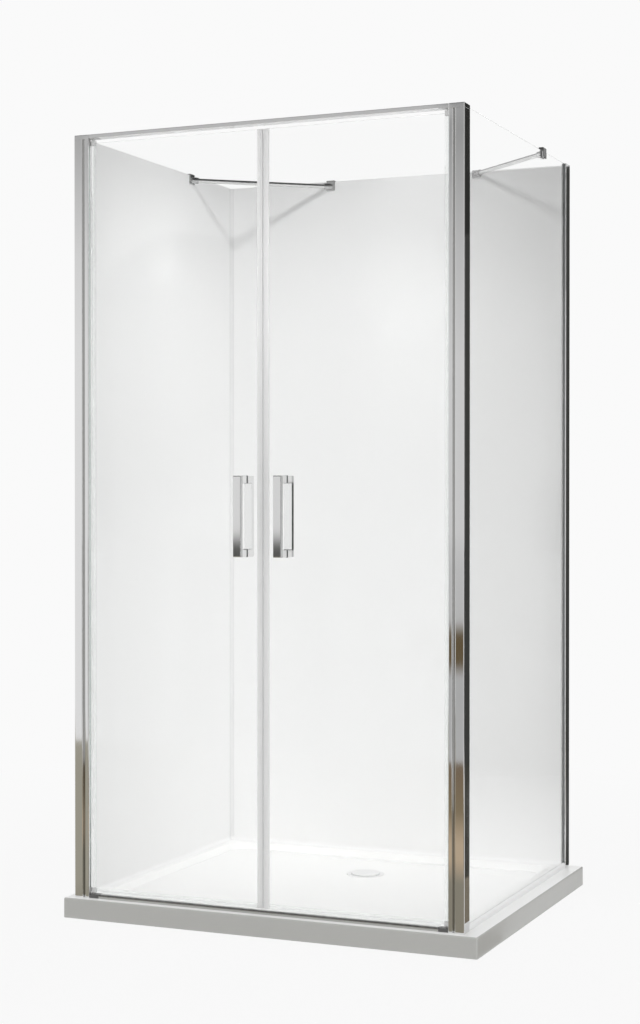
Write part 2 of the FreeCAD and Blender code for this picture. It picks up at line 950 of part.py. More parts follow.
def side_sill_channel():
    half = sill_channel_width / 2
    inner = glass_thickness / 2 + slip / 2
    top = rim_z + sill_channel_height
    floor_z = rim_z + sill_floor
    y_from = front_y + post_depth
    y_to = back_inner_y - wall_channel_depth
    profile = (
        (-half, rim_z),
        (half, rim_z),
        (half, top - sill_bevel),
        (inner + sill_lip, top),
        (inner, top),
        (inner, floor_z),
        (-inner, floor_z),
        (-inner, top),
        (-inner - sill_lip, top),
        (-half, top - sill_bevel),
    )
    corners = [vec(side_glass_x + offset, y_from, z) for offset, z in profile]
    face = Part.Face(Part.makePolygon(corners + corners[:1]))
    return face.extrude(vec(0, y_to - y_from, 0))


# Braces: round bars from the side walls to the back panel, held by clamps on the top edges
def brace_ends(side):
    z = brace_z[side]
    if side == "left":
        return vec(left_inner_x, brace_left_y, z), vec(brace_left_x, back_inner_y, z)
    wall_x = side_glass_x - glass_thickness / 2
    return vec(wall_x, brace_right_y, z), vec(brace_right_x, back_inner_y, z)


def brace_bar(side):
    start, end = brace_ends(side)
    direction = (end - start).normalize()
    foot = start + direction * socket_floor
    length = (end - start).Length - 2 * socket_floor
    return Part.makeCylinder(brace_radius, length, foot, direction)


def clamp_slot(wall):
    if wall == "left":
        return left_panel_x, left_inner_x, brace_left_y
    half = glass_thickness / 2
    return side_glass_x - half, side_glass_x + half, brace_right_y


def clamp_levels(side, cap):
    return brace_z[side] - clamp_drop, panel_top_z + cap


def clamp_body(sheet_from, sheet_to, middle, along_x, levels):
    low, high = levels
    across = (sheet_from - clamp_cheek, sheet_to + clamp_cheek)
    along = (middle - clamp_length / 2, middle + clamp_length / 2)
    gap_z = panel_top_z + slip / 2
    room = (along[0] - clamp_length, along[1] + clamp_length)
    slot_z = low - clamp_length
    if along_x:
        body = block(along[0], along[1], across[0], across[1], low, high)
        slot = block(room[0], room[1], sheet_from, sheet_to, slot_z, gap_z)
    else:
        body = block(across[0], across[1], along[0], along[1], low, high)
        slot = block(sheet_from, sheet_to, room[0], room[1], slot_z, gap_z)
    return body.makeChamfer(clamp_bevel, body.Edges), slot


def with_collar(body, slot, end, direction):
    root = end - direction * collar_root
    collar = Part.makeCylinder(collar_radius, collar_length + collar_root, root, direction)
    socket_start = end + direction * (socket_floor - slip)
    socket = Part.makeCylinder(brace_radius + glue_line, collar_length, socket_start, direction)
    return body.fuse(collar).cut(slot).cut(socket).removeSplitter()


def set_screw(x, y, side, normal):
    z = brace_z[side] - set_screw_drop
    return Part.makeCylinder(set_screw_radius, clamp_cheek, vec(x, y, z), normal)


def screw_places():
    left = clamp_slot("left")
    right = clamp_slot("right")
    return {
        "left": (left[0], left[2], "left", vec(-1, 0, 0)),
        "right": (right[1], right[2], "right", vec(1, 0, 0)),
        "left_back": (brace_left_x, back_outer_y, "left", vec(0, 1, 0)),
        "right_back": (brace_right_x, back_outer_y, "right", vec(0, 1, 0)),
    }


def drilled(clamp, place):
    return clamp.cut(set_screw(*screw_places()[place]))


def wall_clamp(side):
    start, end = brace_ends(side)
    sheet_from, sheet_to, middle = clamp_slot(side)
    cap = clamp_cap if side == "left" else glass_clamp_cap
    body, slot = clamp_body(sheet_from, sheet_to, middle, False, clamp_levels(side, cap))
    clamp = with_collar(body, slot, start, (end - start).normalize())
    return drilled(clamp, side)


def back_clamp(side):
    start, end = brace_ends(side)
    body, slot = clamp_body(back_inner_y, back_outer_y, end.x, True, clamp_levels(side, clamp_cap))
    clamp = with_collar(body, slot, end, (start - end).normalize())
    return drilled(clamp, side + "_back")


def clamp_set_screws():
    return Part.makeCompound([set_screw(*place) for place in screw_places().values()])


def door_nodes():
    makers = {
        "hinge_strip": left_hinge_strip,
        "pivot_shoes": left_pivot_shoes,
        "pivot_pins": left_pivot_pins,
        "door_glass": left_door_glass,
        "meeting_seal": left_meeting_seal,
        "meeting_magnet": left_meeting_magnet,
        "bottom_seal": left_bottom_seal,
        "outer_handle": left_outer_handle,
        "inner_handle": left_inner_handle,
        "handle_pads": left_handle_pads,
        "handle_bolts": left_handle_bolts,
    }
    nodes = {}
    for name, maker in makers.items():
        left = maker()
        nodes["left_" + name] = left
        nodes["right_" + name] = to_right(left)
    return nodes


def frame_nodes():
    nodes = {}
    for name, maker in (("post", left_post), ("jamb", left_jamb), ("corner_cap", left_corner_cap)):
        left = maker()
        nodes["left_" + name] = left
        nodes["right_" + name] = to_right(left)
    nodes["fixing_screws"] = fixing_screws()
    nodes["header_rail"] = header_rail()
    nodes["threshold_bar"] = threshold_bar()
    nodes["top_pivot_blocks"] = top_pivot_blocks()
    nodes["bottom_pivot_blocks"] = bottom_pivot_blocks()
    return nodes


def wall_nodes():
    return {
        "left_panel": left_panel(),
        "back_panel": back_panel(),
        "rear_corner_trim": rear_corner_trim(),
        "left_base_trim": left_base_trim(),
        "back_base_trim": back_base_trim(),
        "left_panel_gasket": left_panel_gasket(),
        "side_glass": side_glass(),
        "side_front_gasket": side_front_gasket(),
        "side_rear_gasket": side_rear_gasket(),
        "wall_channel": wall_channel(),
        "channel_screws": channel_screws(),
        "side_sill_channel": side_sill_channel(),
    }


def brace_nodes():
    nodes = {}
    for side in ("left", "right"):
        nodes[side + "_brace_bar"] = brace_bar(side)
        nodes[side + "_wall_clamp"] = wall_clamp(side)
        nodes[side + "_back_clamp"] = back_clamp(side)
    nodes["clamp_set_screws"] = clamp_set_screws()
    return nodes


def tray_nodes():
    return {
        "shower_tray": shower_tray(),
        "waste_body": waste_body(),
        "waste_strainer": waste_strainer(),
        "drain_cover": drain_cover(),
    }


os.makedirs("parts", exist_ok=True)
for maker in (tray_nodes, wall_nodes, frame_nodes, brace_nodes, door_nodes):
    for node, shape in maker().items():
        shape.exportStep("parts/" + node + ".step")
        print(node, len(shape.Solids), round(shape.Volume / 1000, 1), shape.isValid())
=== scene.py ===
import math

import bmesh
import bpy
from mathutils import Matrix, Vector


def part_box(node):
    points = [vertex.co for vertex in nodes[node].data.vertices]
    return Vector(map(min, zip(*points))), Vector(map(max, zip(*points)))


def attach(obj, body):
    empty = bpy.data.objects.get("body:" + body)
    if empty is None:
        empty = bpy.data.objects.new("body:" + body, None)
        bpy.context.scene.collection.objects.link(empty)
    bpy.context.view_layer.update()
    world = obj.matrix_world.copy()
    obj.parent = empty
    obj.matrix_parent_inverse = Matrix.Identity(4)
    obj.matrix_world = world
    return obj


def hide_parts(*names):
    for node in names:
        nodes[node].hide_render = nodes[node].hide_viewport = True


# Shower enclosure: finishes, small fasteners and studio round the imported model
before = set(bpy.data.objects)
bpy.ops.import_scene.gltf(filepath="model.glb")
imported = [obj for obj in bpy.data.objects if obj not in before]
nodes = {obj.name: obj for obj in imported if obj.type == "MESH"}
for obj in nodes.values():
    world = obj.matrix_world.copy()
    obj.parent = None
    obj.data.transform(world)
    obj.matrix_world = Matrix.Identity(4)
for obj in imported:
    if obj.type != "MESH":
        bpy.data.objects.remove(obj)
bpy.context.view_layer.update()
scene = bpy.context.scene
scene.view_settings.view_transform = "Standard"
print("frame loaded,", len(nodes), "nodes")


nodeSpacing = (200, -180)  # editor units per column and row


def putNode(node, place):
    node.location = (place[0] * nodeSpacing[0], place[1] * nodeSpacing[1])


def addNode(tree, kind, place, inputs=None, **settings):
    node = tree.nodes.new("ShaderNode" + kind)
    putNode(node, place)
    for name, value in settings.items():
        setattr(node, name, value)
    for name, value in (inputs or {}).items():
        node.inputs[name].default_value = value
    return node


def newGroup(name, inputs, outputs):
    tree = bpy.data.node_groups.new(name, "ShaderNodeTree")
    for label, kind, value in inputs:
        socket = tree.interface.new_socket(name=label, in_out="INPUT", socket_type=kind)
        socket.default_value = value
    for label, kind in outputs:
        tree.interface.new_socket(name=label, in_out="OUTPUT", socket_type=kind)
    return tree, tree.nodes.new("NodeGroupInput"), tree.nodes.new("NodeGroupOutput")


grainLook = {"fineDetail": 4.0, "fineRoughness": 0.6, "broadShare": 0.02, "broadDetail": 2.0}


# Colour drift, roughness drift and fine relief; stretch draws the grain out along Z
def makeGrain():
    tree, start, end = newGroup(
        "surfaceGrain",
        [
            ("Colour", "NodeSocketColor", (0.8, 0.8, 0.8, 1)),
            ("Drift", "NodeSocketFloat", 0.02),
            ("Scale", "NodeSocketFloat", 200.0),
            ("Stretch", "NodeSocketFloat", 1.0),
            ("Roughness", "NodeSocketFloat", 0.4),
            ("Rough Drift", "NodeSocketFloat", 0.05),
        ],
        [("Colour", "NodeSocketColor"), ("Roughness", "NodeSocketFloat"), ("Height", "NodeSocketFloat")],
    )
    link = tree.links.new
    coords = addNode(tree, "TexCoord", (0, 0))
    squeeze = addNode(tree, "CombineXYZ", (0, 2), {"X": 1.0, "Y": 1.0})
    link(start.outputs["Stretch"], squeeze.inputs["Z"])
    spread = addNode(tree, "VectorMath", (1, 0), operation="MULTIPLY")
    link(coords.outputs["Object"], spread.inputs[0])
    link(squeeze.outputs[0], spread.inputs[1])
    fine = addNode(tree, "TexNoise", (2, 0), {
        "Detail": grainLook["fineDetail"],
        "Roughness": grainLook["fineRoughness"],
    })
    link(spread.outputs[0], fine.inputs["Vector"])
    link(start.outputs["Scale"], fine.inputs["Scale"])
    broadScale = addNode(tree, "Math", (1, 2), {1: grainLook["broadShare"]}, operation="MULTIPLY")
    link(start.outputs["Scale"], broadScale.inputs[0])
    broad = addNode(tree, "TexNoise", (2, 2), {"Detail": grainLook["broadDetail"]})
    link(coords.outputs["Object"], broad.inputs["Vector"])
    link(broadScale.outputs[0], broad.inputs["Scale"])
    both = addNode(tree, "Math", (3, 1), operation="ADD")
    link(fine.outputs["Fac"], both.inputs[0])
    link(broad.outputs["Fac"], both.inputs[1])
    swing = addNode(tree, "Math", (4, 1), {1: 1.0}, operation="SUBTRACT")
    link(both.outputs[0], swing.inputs[0])
    tone = addNode(tree, "Math", (5, 0), {2: 1.0}, operation="MULTIPLY_ADD")
    link(swing.outputs[0], tone.inputs[0])
    link(start.outputs["Drift"], tone.inputs[1])
    tint = addNode(tree, "VectorMath", (6, 0), operation="SCALE")
    link(start.outputs["Colour"], tint.inputs[0])
    link(tone.outputs[0], tint.inputs["Scale"])
    link(tint.outputs[0], end.inputs["Colour"])
    rough = addNode(tree, "Math", (5, 2), operation="MULTIPLY_ADD", use_clamp=True)
    link(swing.outputs[0], rough.inputs[0])
    link(start.outputs["Rough Drift"], rough.inputs[1])
    link(start.outputs["Roughness"], rough.inputs[2])
    link(rough.outputs[0], end.inputs["Roughness"])
    link(fine.outputs["Fac"], end.inputs["Height"])
    return tree


rubLook = {"bevelSamples": 4, "patchScale": 90.0, "patchDetail": 3.0}


# Rounded normals along sharp edges, and a broken mask of where hands and cloths rub them
def makeEdges():
    tree, start, end = newGroup(
        "edgeRub",
        [("Radius", "NodeSocketFloat", 0.0008), ("Gain", "NodeSocketFloat", 3.0)],
        [("Mask", "NodeSocketFloat"), ("Normal", "NodeSocketVector")],
    )
    link = tree.links.new
    bevel = addNode(tree, "Bevel", (0, 0), samples=rubLook["bevelSamples"])
    link(start.outputs["Radius"], bevel.inputs["Radius"])
    flat = addNode(tree, "NewGeometry", (0, 2))
    match = addNode(tree, "VectorMath", (1, 0), operation="DOT_PRODUCT")
    link(bevel.outputs["Normal"], match.inputs[0])
    link(flat.outputs["Normal"], match.inputs[1])
    turned = addNode(tree, "Math", (2, 0), {0: 1.0}, operation="SUBTRACT")
    link(match.outputs["Value"], turned.inputs[1])
    coords = addNode(tree, "TexCoord", (0, 4))
    patchy = addNode(tree, "TexNoise", (1, 4), {
        "Scale": rubLook["patchScale"],
        "Detail": rubLook["patchDetail"],
    })
    link(coords.outputs["Object"], patchy.inputs["Vector"])
    strength = addNode(tree, "Math", (2, 3), operation="MULTIPLY")
    link(patchy.outputs["Fac"], strength.inputs[0])
    link(start.outputs["Gain"], strength.inputs[1])
    mask = addNode(tree, "Math", (3, 1), operation="MULTIPLY", use_clamp=True)
    link(turned.outputs[0], mask.inputs[0])
    link(strength.outputs[0], mask.inputs[1])
    link(mask.outputs[0], end.inputs["Mask"])
    link(bevel.outputs["Normal"], end.inputs["Normal"])
    return tree


grainGroup = makeGrain()
edgeGroup = makeEdges()
print("shared node groups ready")


def placeGroup(tree, group, place, inputs):
    node = tree.nodes.new("ShaderNodeGroup")
    node.node_tree = group
    putNode(node, place)
    for name, value in inputs.items():
        node.inputs[name].default_value = value
    return node


def rgba(colour):
    return (colour[0], colour[1], colour[2], 1.0)


# Lamp light and bounced light go straight through clear stuff, so that neither is counted twice
def letLampsPass(tree, shader, colour):
    link = tree.links.new
    path = addNode(tree, "LightPath", (1, -2))
    clear = addNode(tree, "BsdfTransparent", (1, 2), {"Color": rgba(colour)})
    surface = shader.outputs[0]
    for step, ray in enumerate(("Is Diffuse Ray", "Is Shadow Ray")):
        mix = addNode(tree, "MixShader", (3 + step, 0))
        link(path.outputs[ray], mix.inputs[0])
        link(surface, mix.inputs[1])
        link(clear.outputs[0], mix.inputs[2])
        surface = mix.outputs[0]
    out = next(n for n in tree.nodes if n.type == "OUTPUT_MATERIAL")
    putNode(out, (5.5, 0))
    link(surface, out.inputs["Surface"])


# One finish from its dictionary: grain, rubbed edges, relief
def solidFinish(name, look):
    mat = bpy.data.materials.new(name)
    mat.use_nodes = True
    tree = mat.node_tree
    link = tree.links.new
    shader = tree.nodes["Principled BSDF"]
    shader.inputs["Metallic"].default_value = look.get("metallic", 0.0)
    shader.inputs["IOR"].default_value = look.get("ior", 1.45)
    shader.inputs["Transmission Weight"].default_value = look.get("transmission", 0.0)
    grain = placeGroup(tree, grainGroup, (-6, 0), {
        "Colour": rgba(look["colour"]),
        "Drift": look["drift"],
        "Scale": look["scale"],
        "Stretch": look.get("stretch", 1.0),
        "Roughness": look["roughness"],
        "Rough Drift": look["roughDrift"],
    })
    edges = placeGroup(tree, edgeGroup, (-6, 3), {"Radius": look["edgeRadius"], "Gain": look["edgeGain"]})
    worn = addNode(tree, "Mix", (-3, 0), data_type="RGBA")
    link(edges.outputs["Mask"], worn.inputs["Factor"])
    link(grain.outputs["Colour"], worn.inputs["A"])
    worn.inputs["B"].default_value = rgba(look["edgeColour"])
    link(worn.outputs["Result"], shader.inputs["Base Color"])
    link(grain.outputs["Roughness"], shader.inputs["Roughness"])
    bump = addNode(tree, "Bump", (-3, 3), {"Strength": look["bump"], "Distance": look["bumpDepth"]})
    link(grain.outputs["Height"], bump.inputs["Height"])
    link(edges.outputs["Normal"], bump.inputs["Normal"])
    link(bump.outputs["Normal"], shader.inputs["Normal"])
    if look.get("lampsPass"):
        letLampsPass(tree, shader, look["colour"])
    return mat


# Tray: white gel coat on top, the outward-facing sides of the skirt a darker grey
trayLook = {
    "colour": (0.90, 0.90, 0.895),
    "skirtColour": (0.44, 0.44, 0.424),
    "skirtBlend": (0.95, 0.998),
    "skirtReach": 0.006,
    "skirtFade": 0.0002,
    "drift": 0.02,
    "scale": 260.0,
    "roughness": 0.34,
    "roughDrift": 0.08,
    "edgeRadius": 0.002,
    "edgeGain": 2.0,
    "edgeColour": (0.88, 0.88, 0.88),
    "bump": 0.12,
    "bumpDepth": 0.0004,
}


# Where on the piece a point lies and which way its face looks, both in the model's frame
def faceParts(tree):
    coords = addNode(tree, "TexCoord", (-12, 0))
    lean = addNode(tree, "SeparateXYZ", (-11, 0))
    spot = addNode(tree, "SeparateXYZ", (-11, 2))
    tree.links.new(coords.outputs["Normal"], lean.inputs[0])
    tree.links.new(coords.outputs["Object"], spot.inputs[0])
    return lean, spot


def rising(tree, socket, low, high, place):
    level = addNode(tree, "MapRange", place, {"From Min": low, "From Max": high})
    tree.links.new(socket, level.inputs["Value"])
    return level.outputs["Result"]


def joined(tree, first, second, operation, place):
    node = addNode(tree, "Math", place, operation=operation)
    tree.links.new(first, node.inputs[0])
    tree.links.new(second, node.inputs[1])
    return node.outputs[0]


def distance(tree, socket, centre, place):
    shift = addNode(tree, "Math", place, operation="SUBTRACT")
    shift.inputs[1].default_value = centre
    tree.links.new(socket, shift.inputs[0])
    away = addNode(tree, "Math", (place[0] + 1, place[1]), operation="ABSOLUTE")
    tree.links.new(shift.outputs[0], away.inputs[0])
    return away.outputs[0]


# Second colour of a finish, laid where the mask is 1
def tintWhere(mat, mask, look, key):
    tree = mat.node_tree
    grain = next(n for n in tree.nodes if n.type == "GROUP" and n.node_tree == grainGroup)
    tone = addNode(tree, "Mix", (-7, 0), data_type="RGBA")
    tone.inputs["A"].default_value = rgba(look["colour"])
    tone.inputs["B"].default_value = rgba(look[key])
    tree.links.new(mask, tone.inputs["Factor"])
    tree.links.new(tone.outputs["Result"], grain.inputs["Colour"])


def trayFinish():
    mat = solidFinish("trayGelCoat", trayLook)
    tree = mat.node_tree
    lean, spot = faceParts(tree)
    low, high = trayLook["skirtBlend"]
    turned = rising(tree, lean.outputs["Z"], high, low, (-10, 0))
    reach = [edge - trayLook["skirtReach"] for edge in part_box("shower_tray")[1]]
    fade = trayLook["skirtFade"]
    outside = [
        rising(tree, distance(tree, spot.outputs[axis], 0.0, (-10, row)), edge, edge + fade, (-9, row))
        for axis, edge, row in zip("XY", reach, (2, 3))
    ]
    outer = joined(tree, outside[0], outside[1], "MAXIMUM", (-8, 2))
    tintWhere(mat, joined(tree, turned, outer, "MULTIPLY", (-8, 0)), trayLook, "skirtColour")
    return mat


panelLook = {
    "colour": (0.86, 0.86, 0.86),
    "drift": 0.012,
    "scale": 140.0,
    "roughness": 0.38,
    "roughDrift": 0.07,
    "edgeRadius": 0.0012,
    "edgeGain": 1.5,
    "edgeColour": (0.80, 0.80, 0.80),
    "bump": 0.06,
    "bumpDepth": 0.0003,
}

# The trims feather out on the panels, so their edges are hardly rounded
trimLook = dict(
    panelLook,
    colour=(0.86, 0.86, 0.86),
    edgeColour=(0.86, 0.86, 0.86),
    edgeRadius=0.00008,
    roughness=0.48,
    scale=320.0,
)

# The corner trim is the same white painted darker: painted shade where the two walls meet
cornerTrimShadedLook = dict(trimLook, colour=(0.75, 0.75, 0.75), edgeColour=(0.75, 0.75, 0.75))

chromeLook = {
    "colour": (0.82, 0.82, 0.82),
    "metallic": 1.0,
    "drift": 0.02,
    "scale": 900.0,
    "stretch": 0.02,
    "roughness": 0.045,
    "roughDrift": 0.03,
    "edgeRadius": 0.0008,
    "edgeGain": 1.5,
    "edgeColour": (0.90, 0.90, 0.90),
    "bump": 0.02,
    "bumpDepth": 0.00005,
}

barLook = dict(chromeLook, colour=(0.84, 0.84, 0.84), stretch=1.0, scale=420.0, roughness=0.05)

# Brace bars and clamps: the same chrome painted darker, a painted shade standing in for the darker
# reflections they show
braceShadedLook = dict(barLook, colour=(0.70, 0.70, 0.70))

clampShadedLook = dict(barLook, colour=(0.50, 0.50, 0.50))

# Jambs: painted shade in the slot that shows between post and jamb, darker where the recess sits back
jambLook = dict(
    chromeLook,
    slotShadeColour=(0.44, 0.44, 0.43),
    slotShadeDepth=(0.003, 0.005),
    slotShadeFacing=(-0.6, -0.9),
)


def jambFinish():
    mat = solidFinish("jambChromeSlotShade", jambLook)
    tree = mat.node_tree
    lean, spot = faceParts(tree)
    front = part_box("left_post")[0][1]
    low, high = jambLook["slotShadeDepth"]
    deep = rising(tree, spot.outputs["Y"], front + low, front + high, (-9, 2))
    facing = rising(tree, lean.outputs["Y"], *jambLook["slotShadeFacing"], (-9, 0))
    # painted shade: the recessed, sideways-facing slot faces get a darker colour
    tintWhere(mat, joined(tree, deep, facing, "MULTIPLY", (-8, 0)), jambLook, "slotShadeColour")
    return mat


# Handles: polished fronts; the grip bars' sides are painted darker, a painted shade standing in for the
# darker reflection they show
handleLook = dict(
    barLook,
    gripSideShade=(0.56, 0.56, 0.56),
    gripShadeFacing=(0.6, 0.9),
    barFrom=0.027,
    barFade=0.0005,
)


def handleFinish():
    mat = solidFinish("handleChromeShadedSides", handleLook)
    tree = mat.node_tree
    lean, spot = faceParts(tree)
    low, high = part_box("left_door_glass")
    away = distance(tree, spot.outputs["Y"], (low[1] + high[1]) / 2, (-10, 2))
    start = handleLook["barFrom"]
    grip = rising(tree, away, start, start + handleLook["barFade"], (-8, 2))
    turned = distance(tree, lean.outputs["X"], 0.0, (-10, 0))
    sideways = rising(tree, turned, *handleLook["gripShadeFacing"], (-8, 1))
    # painted shade on the sideways-facing faces of the grip bars
    tintWhere(mat, joined(tree, grip, sideways, "MULTIPLY", (-7, 2)), handleLook, "gripSideShade")
    return mat


thresholdLook = dict(chromeLook, colour=(0.50, 0.50, 0.49), roughness=0.16)

coverLook = dict(
    chromeLook,
    colour=(0.80, 0.80, 0.80),
    metallic=0.20,
    stretch=1.0,
    scale=520.0,
    roughness=0.50,
    roughDrift=0.10,
)

steelLook = dict(
    chromeLook,
    colour=(0.55, 0.55, 0.54),
    stretch=1.0,
    scale=600.0,
    roughness=0.32,
    roughDrift=0.12,
    drift=0.06,
)

rubberLook = {
    "colour": (0.030, 0.030, 0.030),
    "drift": 0.15,
    "scale": 700.0,
    "roughness": 0.62,
    "roughDrift": 0.10,
    "edgeRadius": 0.0004,
    "edgeGain": 1.0,
    "edgeColour": (0.09, 0.09, 0.09),
    "bump": 0.15,
    "bumpDepth": 0.0001,
}

gasketLook = dict(rubberLook, colour=(0.20, 0.205, 0.205), edgeColour=(0.26, 0.26, 0.26), drift=0.06)

magnetLook = dict(rubberLook, colour=(0.50, 0.51, 0.51), edgeColour=(0.56, 0.56, 0.56), drift=0.06)

pivotLook = dict(
    rubberLook,
    colour=(0.10, 0.10, 0.098),
    edgeColour=(0.16, 0.16, 0.16),
    roughness=0.46,
    scale=420.0,
)

topPivotLook = dict(panelLook, colour=(0.60, 0.60, 0.60), scale=420.0, roughness=0.44, bump=0.10)

wasteLook = dict(panelLook, colour=(0.82, 0.82, 0.82), scale=380.0, roughness=0.44, bump=0.10)

# Clear seal strips on the doors' edges; their edges are left sharp, so that what shows through stays calm
sealLook = {
    "colour": (0.975, 0.98, 0.978),
    "transmission": 0.88,
    "lampsPass": True,
    "ior": 1.04,
    "drift": 0.012,
    "scale": 90.0,
    "stretch": 0.02,
    "roughness": 0.02,
    "roughDrift": 0.01,
    "edgeRadius": 0.00003,
    "edgeGain": 1.0,
    "edgeColour": (0.90, 0.91, 0.91),
    "bump": 0.005,
    "bumpDepth": 0.00002,
}

meetingLook = dict(
    sealLook,
    colour=(0.85, 0.85, 0.85),
    edgeColour=(0.78, 0.78, 0.78),
    transmission=0.50,
    ior=1.12,
    roughness=0.12,
)

sillLook = dict(sealLook, colour=(0.90, 0.90, 0.90), transmission=0.25, ior=1.35, roughness=0.34)

# Clear glass: pale on its faces, sea green where a ground edge shows
glassLook = {
    "face": (0.989, 0.992, 0.990),
    "edge": (0.50, 0.66, 0.61),
    "drift": 0.004,
    "scale": 25.0,
    "roughness": 0.0,
    "roughDrift": 0.006,
    "ior": 1.33,
}


def glassFinish(name, thinAxis):
    mat = bpy.data.materials.new(name)
    mat.use_nodes = True
    tree = mat.node_tree
    link = tree.links.new
    shader = tree.nodes["Principled BSDF"]
    shader.inputs["Metallic"].default_value = 0.0
    shader.inputs["Transmission Weight"].default_value = 1.0
    shader.inputs["IOR"].default_value = glassLook["ior"]
    coords = addNode(tree, "TexCoord", (-9, 0))
    parts = addNode(tree, "SeparateXYZ", (-8, 0))
    link(coords.outputs["Normal"], parts.inputs[0])
    across = addNode(tree, "Math", (-7, 0), operation="ABSOLUTE")
    link(parts.outputs[thinAxis], across.inputs[0])
    tone = addNode(tree, "Mix", (-6, 0), data_type="RGBA")
    tone.inputs["A"].default_value = rgba(glassLook["edge"])
    tone.inputs["B"].default_value = rgba(glassLook["face"])
    link(across.outputs[0], tone.inputs["Factor"])
    grain = placeGroup(tree, grainGroup, (-4, 0), {
        "Drift": glassLook["drift"],
        "Scale": glassLook["scale"],
        "Roughness": glassLook["roughness"],
        "Rough Drift": glassLook["roughDrift"],
    })
    link(tone.outputs["Result"], grain.inputs["Colour"])
    link(grain.outputs["Colour"], shader.inputs["Base Color"])
    link(grain.outputs["Roughness"], shader.inputs["Roughness"])
    letLampsPass(tree, shader, glassLook["face"])
    return mat


finishes = {
    "tray": trayFinish(),
    "panel": solidFinish("panelWhite", panelLook),
    "trim": solidFinish("trimWhite", trimLook),
    "cornerTrim": solidFinish("cornerTrimPaintedShade", cornerTrimShadedLook),
    "chrome": solidFinish("frameChrome", chromeLook),
    "threshold": solidFinish("thresholdChrome", thresholdLook),
    "brace": solidFinish("braceChromePaintedShade", braceShadedLook),
    "clamp": solidFinish("clampChromePaintedShade", clampShadedLook),
    "jamb": jambFinish(),
    "handle": handleFinish(),
    "innerHandle": solidFinish("innerHandleChrome", barLook),
    "cover": solidFinish("coverChrome", coverLook),
    "steel": solidFinish("screwSteel", steelLook),
    "rubber": solidFinish("padRubber", rubberLook),
    "gasket": solidFinish("gasketGrey", gasketLook),
    "magnet": solidFinish("magnetStrip", magnetLook),
    "pivot": solidFinish("pivotPlastic", pivotLook),
    "topPivot": solidFinish("topPivotPlastic", topPivotLook),
    "waste": solidFinish("wastePlastic", wasteLook),
    "seal": solidFinish("sealStrip", sealLook),
    "meeting": solidFinish("meetingStrip", meetingLook),
    "sill": solidFinish("sillChannel", sillLook),
    "doorGlass": glassFinish("doorGlass", "Y"),
    "sideGlass": glassFinish("sideGlass", "X"),
}

# Which finish each CAD node wears, by the end of its name
wears = {
    "shower_tray": "tray",
    "waste_body": "waste",
    "waste_strainer": "steel",
    "drain_cover": "cover",
    "_panel": "panel",
    "corner_trim": "cornerTrim",
    "_trim": "trim",
    "_gasket": "gasket",
    "side_glass": "sideGlass",
    "door_glass": "doorGlass",
    "wall_channel": "chrome",
    "side_sill_channel": "sill",
    "_post": "chrome",
    "_jamb": "jamb",
    "_corner_cap": "chrome",
    "header_rail": "chrome",
    "threshold_bar": "threshold",
    "top_pivot_blocks": "topPivot",
    "bottom_pivot_blocks": "pivot",
    "pivot_shoes": "topPivot",
    "pivot_pins": "steel",
    "_screws": "steel",
    "_bolts": "steel",
    "brace_bar": "brace",
    "_clamp": "clamp",
    "left_inner_handle": "innerHandle",
    "_handle": "handle",
    "handle_pads": "rubber",
    "hinge_strip": "seal",
    "meeting_seal": "meeting",
    "_seal": "seal",
    "_magnet": "magnet",
}


def dressNodes():
    for name, obj in nodes.items():
        finish = next(kind for ending, kind in wears.items() if name.endswith(ending))
        obj.data.materials.clear()
        obj.data.materials.append(finishes[finish])


dressNodes()
print("finishes on all nodes")


def meshObject(name, mesh):
    obj = bpy.data.objects.new(name, mesh)
    scene.collection.objects.link(obj)
    return obj


def aroundCircle(count):
    return [2 * math.pi * i / count for i in range(count)]


def ringPoints(count, reach):
    return [(reach(a) * math.cos(a), reach(a) * math.sin(a)) for a in aroundCircle(count)]


def roundRing(radius, count):
    return ringPoints(count, lambda a: radius)


def hexRing(flat, count):
    return ringPoints(count, lambda a: flat / math.cos((a + math.pi / 6) % (math.pi / 3) - math.pi / 6))


# Outline of a cross recess: four arms of one length and half width
def crossRing(arm, half, count):
    def reach(a):
        lean = abs((a + math.pi / 4) % (math.pi / 2) - math.pi / 4)
        return min(arm / math.cos(lean), half / max(math.sin(lean), 1e-6))
    return ringPoints(count, reach)


def softRectangle(halfWide, halfTall, radius, perCorner):
    points = []
    for quarter, (sideX, sideY) in enumerate(((1, 1), (-1, 1), (-1, -1), (1, -1))):
        for step in range(perCorner):
            angle = math.pi / 2 * (quarter + step / (perCorner - 1))
            points.append((
                sideX * (halfWide - radius) + radius * math.cos(angle),
                sideY * (halfTall - radius) + radius * math.sin(angle),
            ))
    return points


def placeAlong(spot, axis):
    return Matrix.Translation(spot) @ Vector(axis).to_track_quat("Z", "Y").to_matrix().to_4x4()


# Skin over a row of rings; a hollow piece closes back on its first ring, any other gets end faces
def skinRings(bm, rings, place, hollow=False):
    loops = [[bm.verts.new(place @ Vector((x, y, height))) for x, y in points] for points, height in rings]
    for lower, upper in zip(loops, loops[1:] + loops[:1] if hollow else loops[1:]):
        for i in range(len(lower)):
            j = (i + 1) % len(lower)
            bm.faces.new((lower[i], lower[j], upper[j], upper[i]))
    if not hollow:
        bm.faces.new(loops[0])
        bm.faces.new(loops[-1])


sharpAngle = 35  # degrees; steeper edges stay crisp


